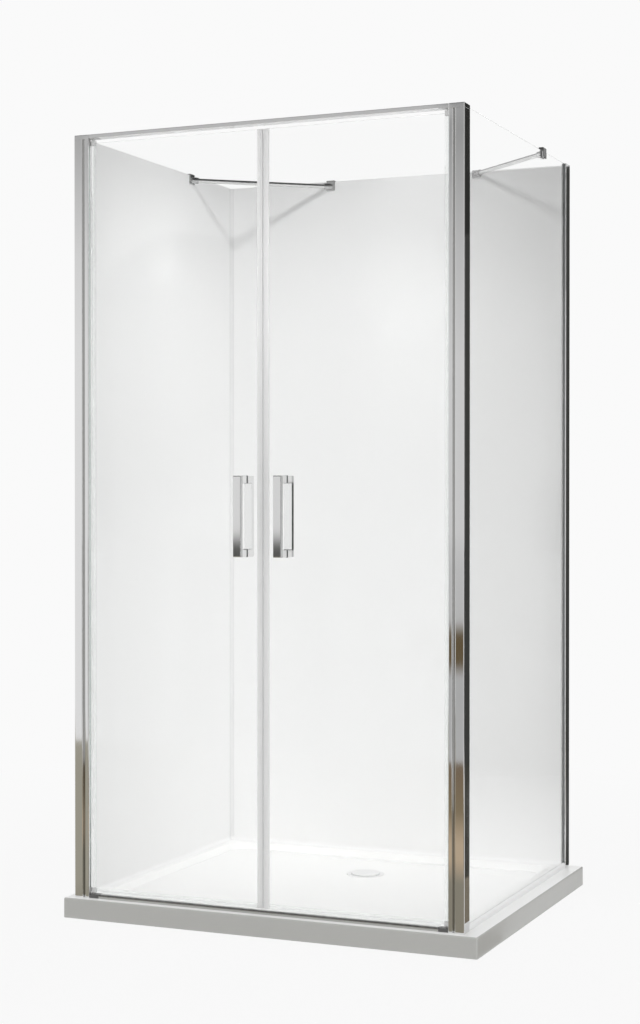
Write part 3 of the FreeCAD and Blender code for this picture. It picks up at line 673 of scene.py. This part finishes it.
def finishPiece(name, bm, finish, body, node):
    bmesh.ops.recalc_face_normals(bm, faces=bm.faces)
    mesh = bpy.data.meshes.new(name)
    bm.to_mesh(mesh)
    bm.free()
    mesh.polygons.foreach_set("use_smooth", [True] * len(mesh.polygons))
    mesh.set_sharp_from_angle(angle=math.radians(sharpAngle))
    mesh.materials.append(finishes[finish])
    piece = meshObject(name, mesh)
    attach(piece, body)
    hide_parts(node)


threadShape = {"rootAt": 0.15, "crestAt": 0.65}  # shares of one pitch


# Thread as a row of crests and roots, from one height to another
def threadRings(look, low, high):
    count = look["sides"]
    pitch = look["pitch"]
    rings = []
    for turn in range(int((high - low) / pitch)):
        start = low + turn * pitch
        rings.append((roundRing(look["root"], count), start + pitch * threadShape["rootAt"]))
        rings.append((roundRing(look["crest"], count), start + pitch * threadShape["crestAt"]))
    return rings


# Grub screws of the four brace clamps, with a hexagon socket in the outer end
grubLook = {
    "crest": 0.00245,
    "root": 0.00215,
    "pitch": 0.0009,
    "length": 0.0045,
    "tip": 0.7,  # share of the root
    "threadFrom": 0.0003,
    "threadEnd": 0.0004,
    "socket": 0.00125,
    "socketDepth": 0.0021,
    "socketMouth": 1.12,  # shares of the socket
    "socketFloor": 0.96,
    "mouthDepth": 0.00015,
    "sides": 24,
    "places": [
        ((-0.523, 0.186, 1.954), (-1, 0, 0)),
        ((0.506, 0.217, 1.962), (1, 0, 0)),
        ((-0.195, 0.449, 1.954), (0, 1, 0)),
        ((0.242, 0.449, 1.962), (0, 1, 0)),
    ],
}


def makeGrubScrews():
    look = grubLook
    count = look["sides"]
    length = look["length"]
    socket = look["socket"]
    rings = [(roundRing(look["root"] * look["tip"], count), 0.0)]
    rings += threadRings(look, look["threadFrom"], length - look["threadEnd"])
    rings += [
        (roundRing(look["root"], count), length),
        (hexRing(socket * look["socketMouth"], count), length),
        (hexRing(socket, count), length - look["mouthDepth"]),
        (hexRing(socket * look["socketFloor"], count), length - look["socketDepth"]),
    ]
    bm = bmesh.new()
    for spot, axis in look["places"]:
        skinRings(bm, rings, placeAlong(spot, axis))
    finishPiece("clampGrubScrews", bm, "steel", "enclosure", "clamp_set_screws")


# Screws that hold each jamb in its post, heads with a cross recess
fixingLook = {
    "crest": 0.0018,
    "root": 0.0014,
    "pitch": 0.0011,
    "reach": 0.0073,
    "tip": 0.0003,
    "threadFrom": 0.0008,
    "threadEnd": 0.0006,
    "head": 0.0033,
    # shares of the head's radius, and how far over its seat
    "headSteps": [(1.0, 0.0), (1.0, 0.0007), (0.93, 0.0014), (0.76, 0.0020), (0.60, 0.0022)],
    "arm": 0.0016,
    "armHalf": 0.00042,
    "recess": 0.0013,
    "recessFloor": (0.55, 0.6),  # shares of arm and half width
    "sides": 48,
    "tipY": -0.4153,
    "across": (-0.5087, 0.4927),
    "heights": (0.370, 1.630),
}


def makeFixingScrews():
    look = fixingLook
    count = look["sides"]
    seat = look["reach"]
    top = seat + look["headSteps"][-1][1]
    arm, half = look["arm"], look["armHalf"]
    armShare, halfShare = look["recessFloor"]
    rings = [(roundRing(look["tip"], count), 0.0)]
    rings += threadRings(look, look["threadFrom"], seat - look["threadEnd"])
    rings.append((roundRing(look["crest"], count), seat))
    rings += [(roundRing(look["head"] * share, count), seat + rise) for share, rise in look["headSteps"]]
    rings += [
        (crossRing(arm, half, count), top),
        (crossRing(arm * armShare, half * halfShare, count), top - look["recess"]),
    ]
    bm = bmesh.new()
    for x in look["across"]:
        for z in look["heights"]:
            skinRings(bm, rings, placeAlong((x, look["tipY"], z), (0, 1, 0)))
    finishPiece("jambFixingScrews", bm, "steel", "enclosure", "fixing_screws")


# Rubber pads under the handle legs, a little wider than the legs and softened round the rim
padLook = {
    "halfWide": 0.01065,
    "halfTall": 0.0094,
    "corner": 0.0012,
    "rim": 0.00035,
    "thickness": 0.001,
    "hole": 0.00305,
    "perCorner": 6,
    "doorY": -0.4205,
    "glassHalf": 0.003,
    "heights": (0.926, 1.106),
    "across": {"left": -0.0615, "right": 0.0455},
}


def makeHandlePads():
    look = padLook
    rim = look["rim"]
    thick = look["thickness"]

    def outline(inset):
        wide = look["halfWide"] - inset
        tall = look["halfTall"] - inset
        return softRectangle(wide, tall, look["corner"], look["perCorner"])

    # the hole starts at the same angle as the outline, so that the faces don't twist
    angles = [math.atan2(y, x) for x, y in outline(0.0)]
    hole = [(look["hole"] * math.cos(a), look["hole"] * math.sin(a)) for a in angles]
    rings = [
        (outline(rim), 0.0),
        (outline(0.0), rim),
        (outline(0.0), thick - rim),
        (outline(rim), thick),
        (hole, thick),
        (hole, 0.0),
    ]
    for side, x in look["across"].items():
        bm = bmesh.new()
        for face in (-1, 1):
            for z in look["heights"]:
                spot = (x, look["doorY"] + face * look["glassHalf"], z)
                skinRings(bm, rings, placeAlong(spot, (0, face, 0)), hollow=True)
        finishPiece(side + "HandlePads", bm, "rubber", side + "_door", side + "_handle_pads")


# Pressed drain cover: shallow dome, rolled shoulder and a skirt that stops just over the waste flange
coverShape = {
    "bulge": 0.2246,
    "wall": 0.0014,
    "shoulder": 0.0014,
    "skirtGap": 0.0004,
    "hem": 0.0004,
    "crown": 0.0006,
    "domeSteps": 8,
    "shoulderSteps": 5,
    "sides": 72,
    "footSides": 24,
    "footRadius": 0.003,
    "footCircle": 0.0335,
    "footRound": 0.0004,
    "feet": 3,
}


def makeDrainCover():
    look = coverShape
    low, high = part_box("drain_cover")
    centre = (low + high) / 2
    place = Matrix.Translation((centre[0], centre[1], 0.0))
    rim = (high[0] - low[0]) / 2
    wall = look["wall"]
    flat = rim - look["shoulder"]
    bottom = low[2] + look["skirtGap"]

    def domeHeight(radius):
        return high[2] - look["bulge"] + math.sqrt(look["bulge"] ** 2 - radius ** 2)

    crown, steps = look["crown"], look["domeSteps"]
    radii = [crown + (flat - crown) * step / steps for step in range(steps + 1)]
    under = [(min(radius, rim - wall), domeHeight(radius) - wall) for radius in radii]
    hem = [
        (rim - wall, bottom + look["hem"]),
        (rim - wall + look["hem"], bottom),
        (rim - look["hem"], bottom),
        (rim, bottom + look["hem"]),
    ]
    turns = [math.pi / 2 * step / look["shoulderSteps"] for step in range(look["shoulderSteps"])]
    bend = look["shoulder"]
    roll = domeHeight(flat) - bend
    shoulder = [(flat + bend * math.cos(a), roll + bend * math.sin(a)) for a in turns]
    over = [(radius, domeHeight(radius)) for radius in reversed(radii)]
    bm = bmesh.new()
    shell = under + hem + shoulder + over
    skinRings(bm, [(roundRing(r, look["sides"]), z) for r, z in shell], place)
    footTop = domeHeight(look["footCircle"]) - wall / 2
    foot = [
        (look["footRadius"] - look["footRound"], low[2]),
        (look["footRadius"], low[2] + look["footRound"]),
        (look["footRadius"], footTop),
    ]
    footRings = [(roundRing(r, look["footSides"]), z) for r, z in foot]
    for turn in aroundCircle(look["feet"]):
        across = look["footCircle"] * Vector((-math.sin(turn), math.cos(turn), 0.0))
        skinRings(bm, footRings, Matrix.Translation(across) @ place)
    finishPiece("domedDrainCover", bm, "cover", "drain_cover", "drain_cover")


makeGrubScrews()
makeFixingScrews()
makeHandlePads()
makeDrainCover()
print("screws, pads and drain cover modelled")


# Studio: pale floor, white behind everything the camera, metal or glass sees
studioLook = {
    "white": (0.955, 0.955, 0.955),
    "floorColour": (0.90, 0.90, 0.90),
    "floorHalf": 30.0,
    "floorDrop": 0.0005,
    "nearShare": 0.92,
    "nearRadius": 0.9,
    "farRadius": 2.6,
    "ambient": (0.47, 0.47, 0.47),
}


def seenDirectly(tree, place):
    path = addNode(tree, "LightPath", place)
    first = addNode(tree, "Math", (place[0] + 1, place[1]), operation="MAXIMUM")
    second = addNode(tree, "Math", (place[0] + 2, place[1]), operation="MAXIMUM")
    tree.links.new(path.outputs["Is Camera Ray"], first.inputs[0])
    tree.links.new(path.outputs["Is Glossy Ray"], first.inputs[1])
    tree.links.new(first.outputs[0], second.inputs[0])
    tree.links.new(path.outputs["Is Transmission Ray"], second.inputs[1])
    return second.outputs[0]


def makeWorld():
    world = bpy.data.worlds.new("studioWorld")
    scene.world = world
    world.use_nodes = True
    tree = world.node_tree
    tree.nodes.clear()
    link = tree.links.new
    ambient = addNode(tree, "Background", (3, 0), {"Color": rgba(studioLook["ambient"]), "Strength": 1.0})
    white = addNode(tree, "Background", (3, 2), {"Color": rgba(studioLook["white"]), "Strength": 1.0})
    mix = addNode(tree, "MixShader", (4, 0))
    link(seenDirectly(tree, (0, 0)), mix.inputs[0])
    link(ambient.outputs[0], mix.inputs[1])
    link(white.outputs[0], mix.inputs[2])
    out = addNode(tree, "OutputWorld", (5, 0))
    link(mix.outputs[0], out.inputs["Surface"])


def makeFloor():
    half = studioLook["floorHalf"]
    corners = [(-half, -half, 0), (half, -half, 0), (half, half, 0), (-half, half, 0)]
    mesh = bpy.data.meshes.new("studioFloor")
    mesh.from_pydata(corners, [], [(0, 1, 2, 3)])
    floor = meshObject("studioFloor", mesh)
    floor.location.z = -studioLook["floorDrop"]
    mat = bpy.data.materials.new("studioFloor")
    mat.use_nodes = True
    tree = mat.node_tree
    tree.nodes.clear()
    link = tree.links.new
    paint = addNode(tree, "BsdfDiffuse", (4, 0), {"Color": rgba(studioLook["floorColour"])})
    white = addNode(tree, "Emission", (4, 2), {"Color": rgba(studioLook["white"]), "Strength": 1.0})
    coords = addNode(tree, "TexCoord", (0, 4))
    reach = addNode(tree, "VectorMath", (1, 4), operation="LENGTH")
    link(coords.outputs["Object"], reach.inputs[0])
    share = addNode(tree, "MapRange", (2, 4), {
        "From Min": studioLook["nearRadius"],
        "From Max": studioLook["farRadius"],
        "To Min": studioLook["nearShare"],
        "To Max": 1.0,
    })
    link(reach.outputs["Value"], share.inputs["Value"])
    factor = addNode(tree, "Math", (3, 3), operation="MULTIPLY")
    link(seenDirectly(tree, (0, 0)), factor.inputs[0])
    link(share.outputs["Result"], factor.inputs[1])
    mix = addNode(tree, "MixShader", (5, 0))
    link(factor.outputs[0], mix.inputs[0])
    link(paint.outputs[0], mix.inputs[1])
    link(white.outputs[0], mix.inputs[2])
    out = addNode(tree, "OutputMaterial", (6, 0))
    link(mix.outputs[0], out.inputs["Surface"])
    mesh.materials.append(mat)


makeWorld()
makeFloor()

# Lamps: two hard ones that only the braces shade, one straight down on the tray
braceNodes = ("brace_bar", "_clamp")
lampDistance = 6.0
lampLook = {
    "front": {"heading": (0.0, 0.854, -0.520), "strength": 0.70, "spread": 8.5, "shadedBy": braceNodes},
    "side": {"heading": (-0.72, 0.38, -0.575), "strength": 0.70, "spread": 6.5, "shadedBy": braceNodes},
    "top": {"heading": (0.0, 0.02, -1.0), "strength": 0.47, "spread": 16.0},
}

# Softboxes with grids: two wide ones at middle height,
# and two narrow ones for the pale pools high on the walls
softLook = {
    "right": {
        "place": (2.1, -0.45, 0.86),
        "aim": (-0.5, 0.1, 0.98),
        "size": (1.2, 1.3),
        "grid": 70.0,
        "power": 2.35,
    },
    "front": {
        "place": (0.8, -2.8, 1.20),
        "aim": (0.30, 0.44, 1.35),
        "size": (1.4, 1.0),
        "grid": 50.0,
        "power": 0.26,
    },
    "leftPool": {
        "place": (2.1, -0.3, 1.40),
        "aim": (-0.54, 0.01, 1.73),
        "size": (0.5, 0.5),
        "grid": 19.0,
        "power": 0.34,
    },
    "backPool": {
        "place": (0.3, -2.8, 1.40),
        "aim": (0.02, 0.44, 1.66),
        "size": (0.4, 0.4),
        "grid": 15.0,
        "power": 0.15,
    },
}


def addLamp(name, data, place, heading):
    lamp = bpy.data.objects.new(name, data)
    lamp.location = place
    lamp.rotation_euler = heading.to_track_quat("-Z", "Y").to_euler()
    scene.collection.objects.link(lamp)
    return lamp


def nodesEnding(name, endings):
    chosen = bpy.data.collections.new(name)
    for node, obj in nodes.items():
        if node.endswith(endings):
            chosen.objects.link(obj)
    return chosen


def makeLamps():
    for name, look in lampLook.items():
        data = bpy.data.lights.new(name + "Lamp", "SUN")
        data.energy = look["strength"]
        data.angle = math.radians(look["spread"])
        heading = Vector(look["heading"])
        lamp = addLamp(name + "Lamp", data, heading * -lampDistance, heading)
        if "shadedBy" in look:
            lamp.light_linking.blocker_collection = nodesEnding(name + "Blockers", look["shadedBy"])
    for name, look in softLook.items():
        data = bpy.data.lights.new(name + "Softbox", "AREA")
        data.shape = "RECTANGLE"
        data.size, data.size_y = look["size"]
        data.spread = math.radians(look["grid"])
        data.energy = look["power"]
        place = Vector(look["place"])
        lamp = addLamp(name + "Softbox", data, place, Vector(look["aim"]) - place)
        lamp.visible_camera = False
        lamp.visible_glossy = False
        lamp.visible_transmission = False


# Black flags over and beside the cabin's upper corners, which hold back ambient light and nothing else
flagLook = {
    "colour": (0.01, 0.01, 0.01),
    "corners": {
        "left": [(-0.55, -0.45, 2.03), (-0.05, -0.45, 2.03), (-0.05, 0.46, 2.03), (-0.55, 0.46, 2.03)],
        "right": [(0.22, -0.12, 2.03), (0.62, -0.12, 2.03), (0.62, 0.46, 2.03), (0.22, 0.46, 2.03)],
        "side": [(0.62, 0.10, 1.58), (0.62, 0.46, 1.58), (0.62, 0.46, 2.03), (0.62, 0.10, 2.03)],
    },
}


def makeFlags():
    mat = bpy.data.materials.new("flagBlack")
    mat.use_nodes = True
    mat.node_tree.nodes["Principled BSDF"].inputs["Base Color"].default_value = rgba(flagLook["colour"])
    for name, corners in flagLook["corners"].items():
        mesh = bpy.data.meshes.new(name + "Flag")
        mesh.from_pydata(corners, [], [(0, 1, 2, 3)])
        mesh.materials.append(mat)
        flag = meshObject(name + "Flag", mesh)
        flag.visible_camera = False
        flag.visible_glossy = False
        flag.visible_transmission = False
        flag.visible_shadow = False


makeLamps()
makeFlags()
print("studio floor, world and lamps ready")


def makeCard(name, corners, mat):
    mesh = bpy.data.meshes.new(name)
    mesh.from_pydata(corners, [], [(0, 1, 2, 3)])
    mesh.materials.append(mat)
    card = meshObject(name, mesh)
    card.visible_camera = False
    card.visible_diffuse = False
    card.visible_transmission = False
    card.visible_volume_scatter = False
    card.visible_shadow = False


# Cards that only polished metal and glass reflect: wall and floor in front, dark overhead and to the right
cardLook = {
    "wallY": -3.4,
    "wallX": (-4.2, 0.9),
    "wallZ": (0.0, 3.4),
    "wallBlend": (-2.1, -0.7),
    "wallLeft": [(0.0, 0.84), (1.7, 0.83), (2.1, 0.76), (2.4, 0.60), (2.62, 0.46)],
    "wallRight": [(0.0, 0.50), (0.27, 0.47), (0.60, 0.56), (0.77, 0.58), (0.92, 0.68), (1.6, 0.70),
                  (2.05, 0.57), (2.52, 0.36), (2.62, 0.40)],
    "grip": {"x": (-1.78, -1.10), "z": (-1.0, 0.885), "blur": 0.035, "colour": (0.10, 0.10, 0.095)},
    "swirl": {"x": (-0.75, -0.40), "z": (0.37, 0.54), "blur": 0.03, "colour": (0.13, 0.095, 0.05)},
    "header": {"x": (-2.235, -0.56), "z": (2.575, 2.90), "blur": 0.012, "colour": (0.56, 0.56, 0.56)},
    "clampGap": {"x": (-0.63, -0.51), "z": (2.634, 2.72), "blur": 0.006, "colour": (0.06, 0.06, 0.06)},
    "floorY": (-3.4, -0.475),
    "floorZ": 0.001,
    "floorBlend": (-0.75, -0.50),
    "rearX": (0.60, 2.6),
    "rearFloor": [(0.47, 0.93), (1.0, 0.70), (2.5, 0.06)],
    "floorLeft": (0.37, 0.35, 0.29),
    "floorRight": [(-3.3, (0.19, 0.14, 0.095)), (-2.3, (0.246, 0.194, 0.122)), (-1.75, (0.52, 0.41, 0.29)),
                   (-1.5, (0.52, 0.41, 0.29)), (-1.2, (0.27, 0.25, 0.20))],
}

# Plain dark cards, each with its tone and corners
darkCards = {
    "rear": (
        (0.05, 0.05, 0.047),
        [(0.75, 2.5, 0.0), (2.6, 2.5, 0.0), (2.6, 2.5, 2.34), (0.75, 2.5, 2.34)],
    ),
    "postTop": (
        (0.03, 0.03, 0.028),
        [(0.567, -0.23, 1.70), (0.80, -0.23, 1.70), (0.80, -0.23, 2.10), (0.567, -0.23, 2.10)],
    ),
    "rightHigh": (
        (0.24, 0.24, 0.235),
        [(3.2, -3.3, 0.86), (3.2, 2.5, 0.86), (3.2, 2.5, 3.0), (3.2, -3.3, 3.0)],
    ),
    "rightLow": (
        (0.06, 0.06, 0.055),
        [(3.2, -3.3, 0.0), (3.2, 2.5, 0.0), (3.2, 2.5, 0.86), (3.2, -3.3, 0.86)],
    ),
    "rearGlassClamp": (
        (0.05, 0.05, 0.05),
        [(1.170, 2.5, 2.372), (1.198, 2.5, 2.372), (1.198, 2.5, 2.425), (1.170, 2.5, 2.425)],
    ),
    "rearClamp": (
        (0.05, 0.05, 0.05),
        [(0.42, 2.5, 2.2), (0.75, 2.5, 2.2), (0.75, 2.5, 2.75), (0.42, 2.5, 2.75)],
    ),
    "rearHigh": (
        (0.22, 0.22, 0.22),
        [(-2.9, 2.5, 2.62), (-0.45, 2.5, 2.62), (-0.45, 2.5, 4.3), (-2.9, 2.5, 4.3)],
    ),
    "postFloor": (
        (0.05, 0.048, 0.04),
        [(0.794, 0.08, 0.002), (1.527, 2.2, 0.002), (1.527, 2.62, 0.002), (0.794, 0.455, 0.002)],
    ),
    "postFoot": (
        (0.20, 0.175, 0.135),
        [(0.554, -0.55, 0.002), (0.794, 0.08, 0.002), (0.794, 0.455, 0.002), (0.554, -0.256, 0.002)],
    ),
    "channelFloor": (
        (0.05, 0.05, 0.047),
        [(0.5825, 0.655, 0.002), (1.104, 2.49, 0.002), (1.104, 2.8, 0.002), (0.5825, 0.95, 0.002)],
    ),
    "sideFloor": (
        (0.30, 0.27, 0.22),
        [(0.62, -2.3, 0.002), (3.2, -2.3, 0.002), (3.2, -0.47, 0.002), (0.62, -0.47, 0.002)],
    ),
    "overhead": (
        (0.05, 0.05, 0.05),
        [(-3.5, -3.4, 3.4), (3.5, -3.4, 3.4), (3.5, 1.6, 3.4), (-3.5, 1.6, 3.4)],
    ),
    "grip": (
        (0.05, 0.05, 0.047),
        [(0.40, 0.415, 0.908), (0.487, 0.415, 0.908), (0.487, 0.415, 1.104), (0.40, 0.415, 1.104)],
    ),
}


def glowMaterial(name):
    mat = bpy.data.materials.new(name)
    mat.use_nodes = True
    tree = mat.node_tree
    tree.nodes.clear()
    glow = addNode(tree, "Emission", (9, 0), {"Strength": 1.0})
    out = addNode(tree, "OutputMaterial", (10, 0))
    tree.links.new(glow.outputs[0], out.inputs["Surface"])
    return mat, tree, glow


def placeOnCard(tree):
    coords = addNode(tree, "TexCoord", (0, 0))
    parts = addNode(tree, "SeparateXYZ", (1, 0))
    tree.links.new(coords.outputs["Object"], parts.inputs[0])
    return parts


# Colours along one axis, from (place, tone) stops in metres
def rampAlong(tree, socket, stops, place):
    low, high = stops[0][0], stops[-1][0]
    level = addNode(tree, "MapRange", place, {"From Min": low, "From Max": high})
    tree.links.new(socket, level.inputs["Value"])
    ramp = addNode(tree, "ValToRGB", (place[0] + 1, place[1]))
    points = ramp.color_ramp.elements
    while len(points) < len(stops):
        points.new(0.5)
    for point, (where, tone) in zip(points, stops):
        point.position = (where - low) / (high - low)
        point.color = rgba(tone) if isinstance(tone, tuple) else (tone, tone, tone, 1.0)
    tree.links.new(level.outputs["Result"], ramp.inputs["Fac"])
    return ramp.outputs["Color"]


def blendAlong(tree, socket, span, first, second, place):
    level = addNode(tree, "MapRange", place, {"From Min": span[0], "From Max": span[1]})
    tree.links.new(socket, level.inputs["Value"])
    mix = addNode(tree, "Mix", (place[0] + 1, place[1]), data_type="RGBA")
    tree.links.new(level.outputs["Result"], mix.inputs["Factor"])
    for key, value in (("A", first), ("B", second)):
        if isinstance(value, tuple):
            mix.inputs[key].default_value = rgba(value)
        else:
            tree.links.new(value, mix.inputs[key])
    return mix.outputs["Result"]


def between(tree, socket, span, blur, place):
    rise = addNode(tree, "MapRange", place, {"From Min": span[0] - blur, "From Max": span[0] + blur})
    fall = addNode(tree, "MapRange", (place[0], place[1] + 1), {
        "From Min": span[1] - blur, "From Max": span[1] + blur, "To Min": 1.0, "To Max": 0.0,
    })
    both = addNode(tree, "Math", (place[0] + 1, place[1]), operation="MULTIPLY")
    tree.links.new(socket, rise.inputs["Value"])
    tree.links.new(socket, fall.inputs["Value"])
    tree.links.new(rise.outputs["Result"], both.inputs[0])
    tree.links.new(fall.outputs["Result"], both.inputs[1])
    return both.outputs[0]


# A soft-edged patch laid over a card's colour
def addPatch(tree, parts, under, look, place):
    wide = between(tree, parts.outputs["X"], look["x"], look["blur"], place)
    tall = between(tree, parts.outputs["Z"], look["z"], look["blur"], (place[0], place[1] + 3))
    mask = addNode(tree, "Math", (place[0] + 2, place[1]), operation="MULTIPLY")
    tree.links.new(wide, mask.inputs[0])
    tree.links.new(tall, mask.inputs[1])
    mix = addNode(tree, "Mix", (place[0] + 3, place[1]), data_type="RGBA")
    tree.links.new(mask.outputs[0], mix.inputs["Factor"])
    tree.links.new(under, mix.inputs["A"])
    mix.inputs["B"].default_value = rgba(look["colour"])
    return mix.outputs["Result"]


def makeWallCard():
    mat, tree, glow = glowMaterial("wallCard")
    parts = placeOnCard(tree)
    left = rampAlong(tree, parts.outputs["Z"], cardLook["wallLeft"], (2, 0))
    right = rampAlong(tree, parts.outputs["Z"], cardLook["wallRight"], (2, 2))
    tone = blendAlong(tree, parts.outputs["X"], cardLook["wallBlend"], left, right, (4, 0))
    for step, patch in enumerate(("grip", "swirl", "header", "clampGap")):
        tone = addPatch(tree, parts, tone, cardLook[patch], (4, 4 + 6 * step))
    tree.links.new(tone, glow.inputs["Color"])
    y = cardLook["wallY"]
    first, last = cardLook["wallX"]
    low, high = cardLook["wallZ"]
    makeCard("wallCard", [(first, y, low), (last, y, low), (last, y, high), (first, y, high)], mat)


def makeFloorCard():
    mat, tree, glow = glowMaterial("floorCard")
    parts = placeOnCard(tree)
    right = rampAlong(tree, parts.outputs["Y"], cardLook["floorRight"], (2, 2))
    left = cardLook["floorLeft"]
    tone = blendAlong(tree, parts.outputs["X"], cardLook["floorBlend"], left, right, (4, 0))
    tree.links.new(tone, glow.inputs["Color"])
    first, last = cardLook["wallX"]
    far, near = cardLook["floorY"]
    z = cardLook["floorZ"]
    makeCard("floorCard", [(first, far, z), (last, far, z), (last, near, z), (first, near, z)], mat)


# Floor behind on the right: pale by the tray, dark far off
def makeRearFloorCard():
    mat, tree, glow = glowMaterial("rearFloorCard")
    parts = placeOnCard(tree)
    tree.links.new(rampAlong(tree, parts.outputs["Y"], cardLook["rearFloor"], (2, 0)), glow.inputs["Color"])
    first, last = cardLook["rearX"]
    near, far = cardLook["rearFloor"][0][0], cardLook["rearFloor"][-1][0]
    z = cardLook["floorZ"]
    makeCard("rearFloorCard", [(first, near, z), (last, near, z), (last, far, z), (first, far, z)], mat)


def makeDarkCards():
    for name, (tone, corners) in darkCards.items():
        mat, _, glow = glowMaterial(name + "Card")
        glow.inputs["Color"].default_value = rgba(tone)
        makeCard(name + "Card", corners, mat)


makeWallCard()
makeFloorCard()
makeRearFloorCard()
makeDarkCards()
print("cards ready")

# Camera fitted to the corners of tray, posts and panels
cameraLook = {
    "place": (1.922, -4.553, 1.067),
    "yaw": 23.31,
    "pitch": -0.505,
    "lens": 66.02,
    "sensor": 36.0,
    "clip": (0.05, 200.0),
}


def makeCamera():
    data = bpy.data.cameras.new("photoCamera")
    data.sensor_width = cameraLook["sensor"]
    data.lens = cameraLook["lens"]
    data.clip_start, data.clip_end = cameraLook["clip"]
    camera = bpy.data.objects.new("photoCamera", data)
    camera.location = cameraLook["place"]
    tilt = math.radians(90 + cameraLook["pitch"])
    camera.rotation_euler = (tilt, 0.0, math.radians(cameraLook["yaw"]))
    scene.collection.objects.link(camera)
    scene.camera = camera


makeCamera()
print("camera ready")
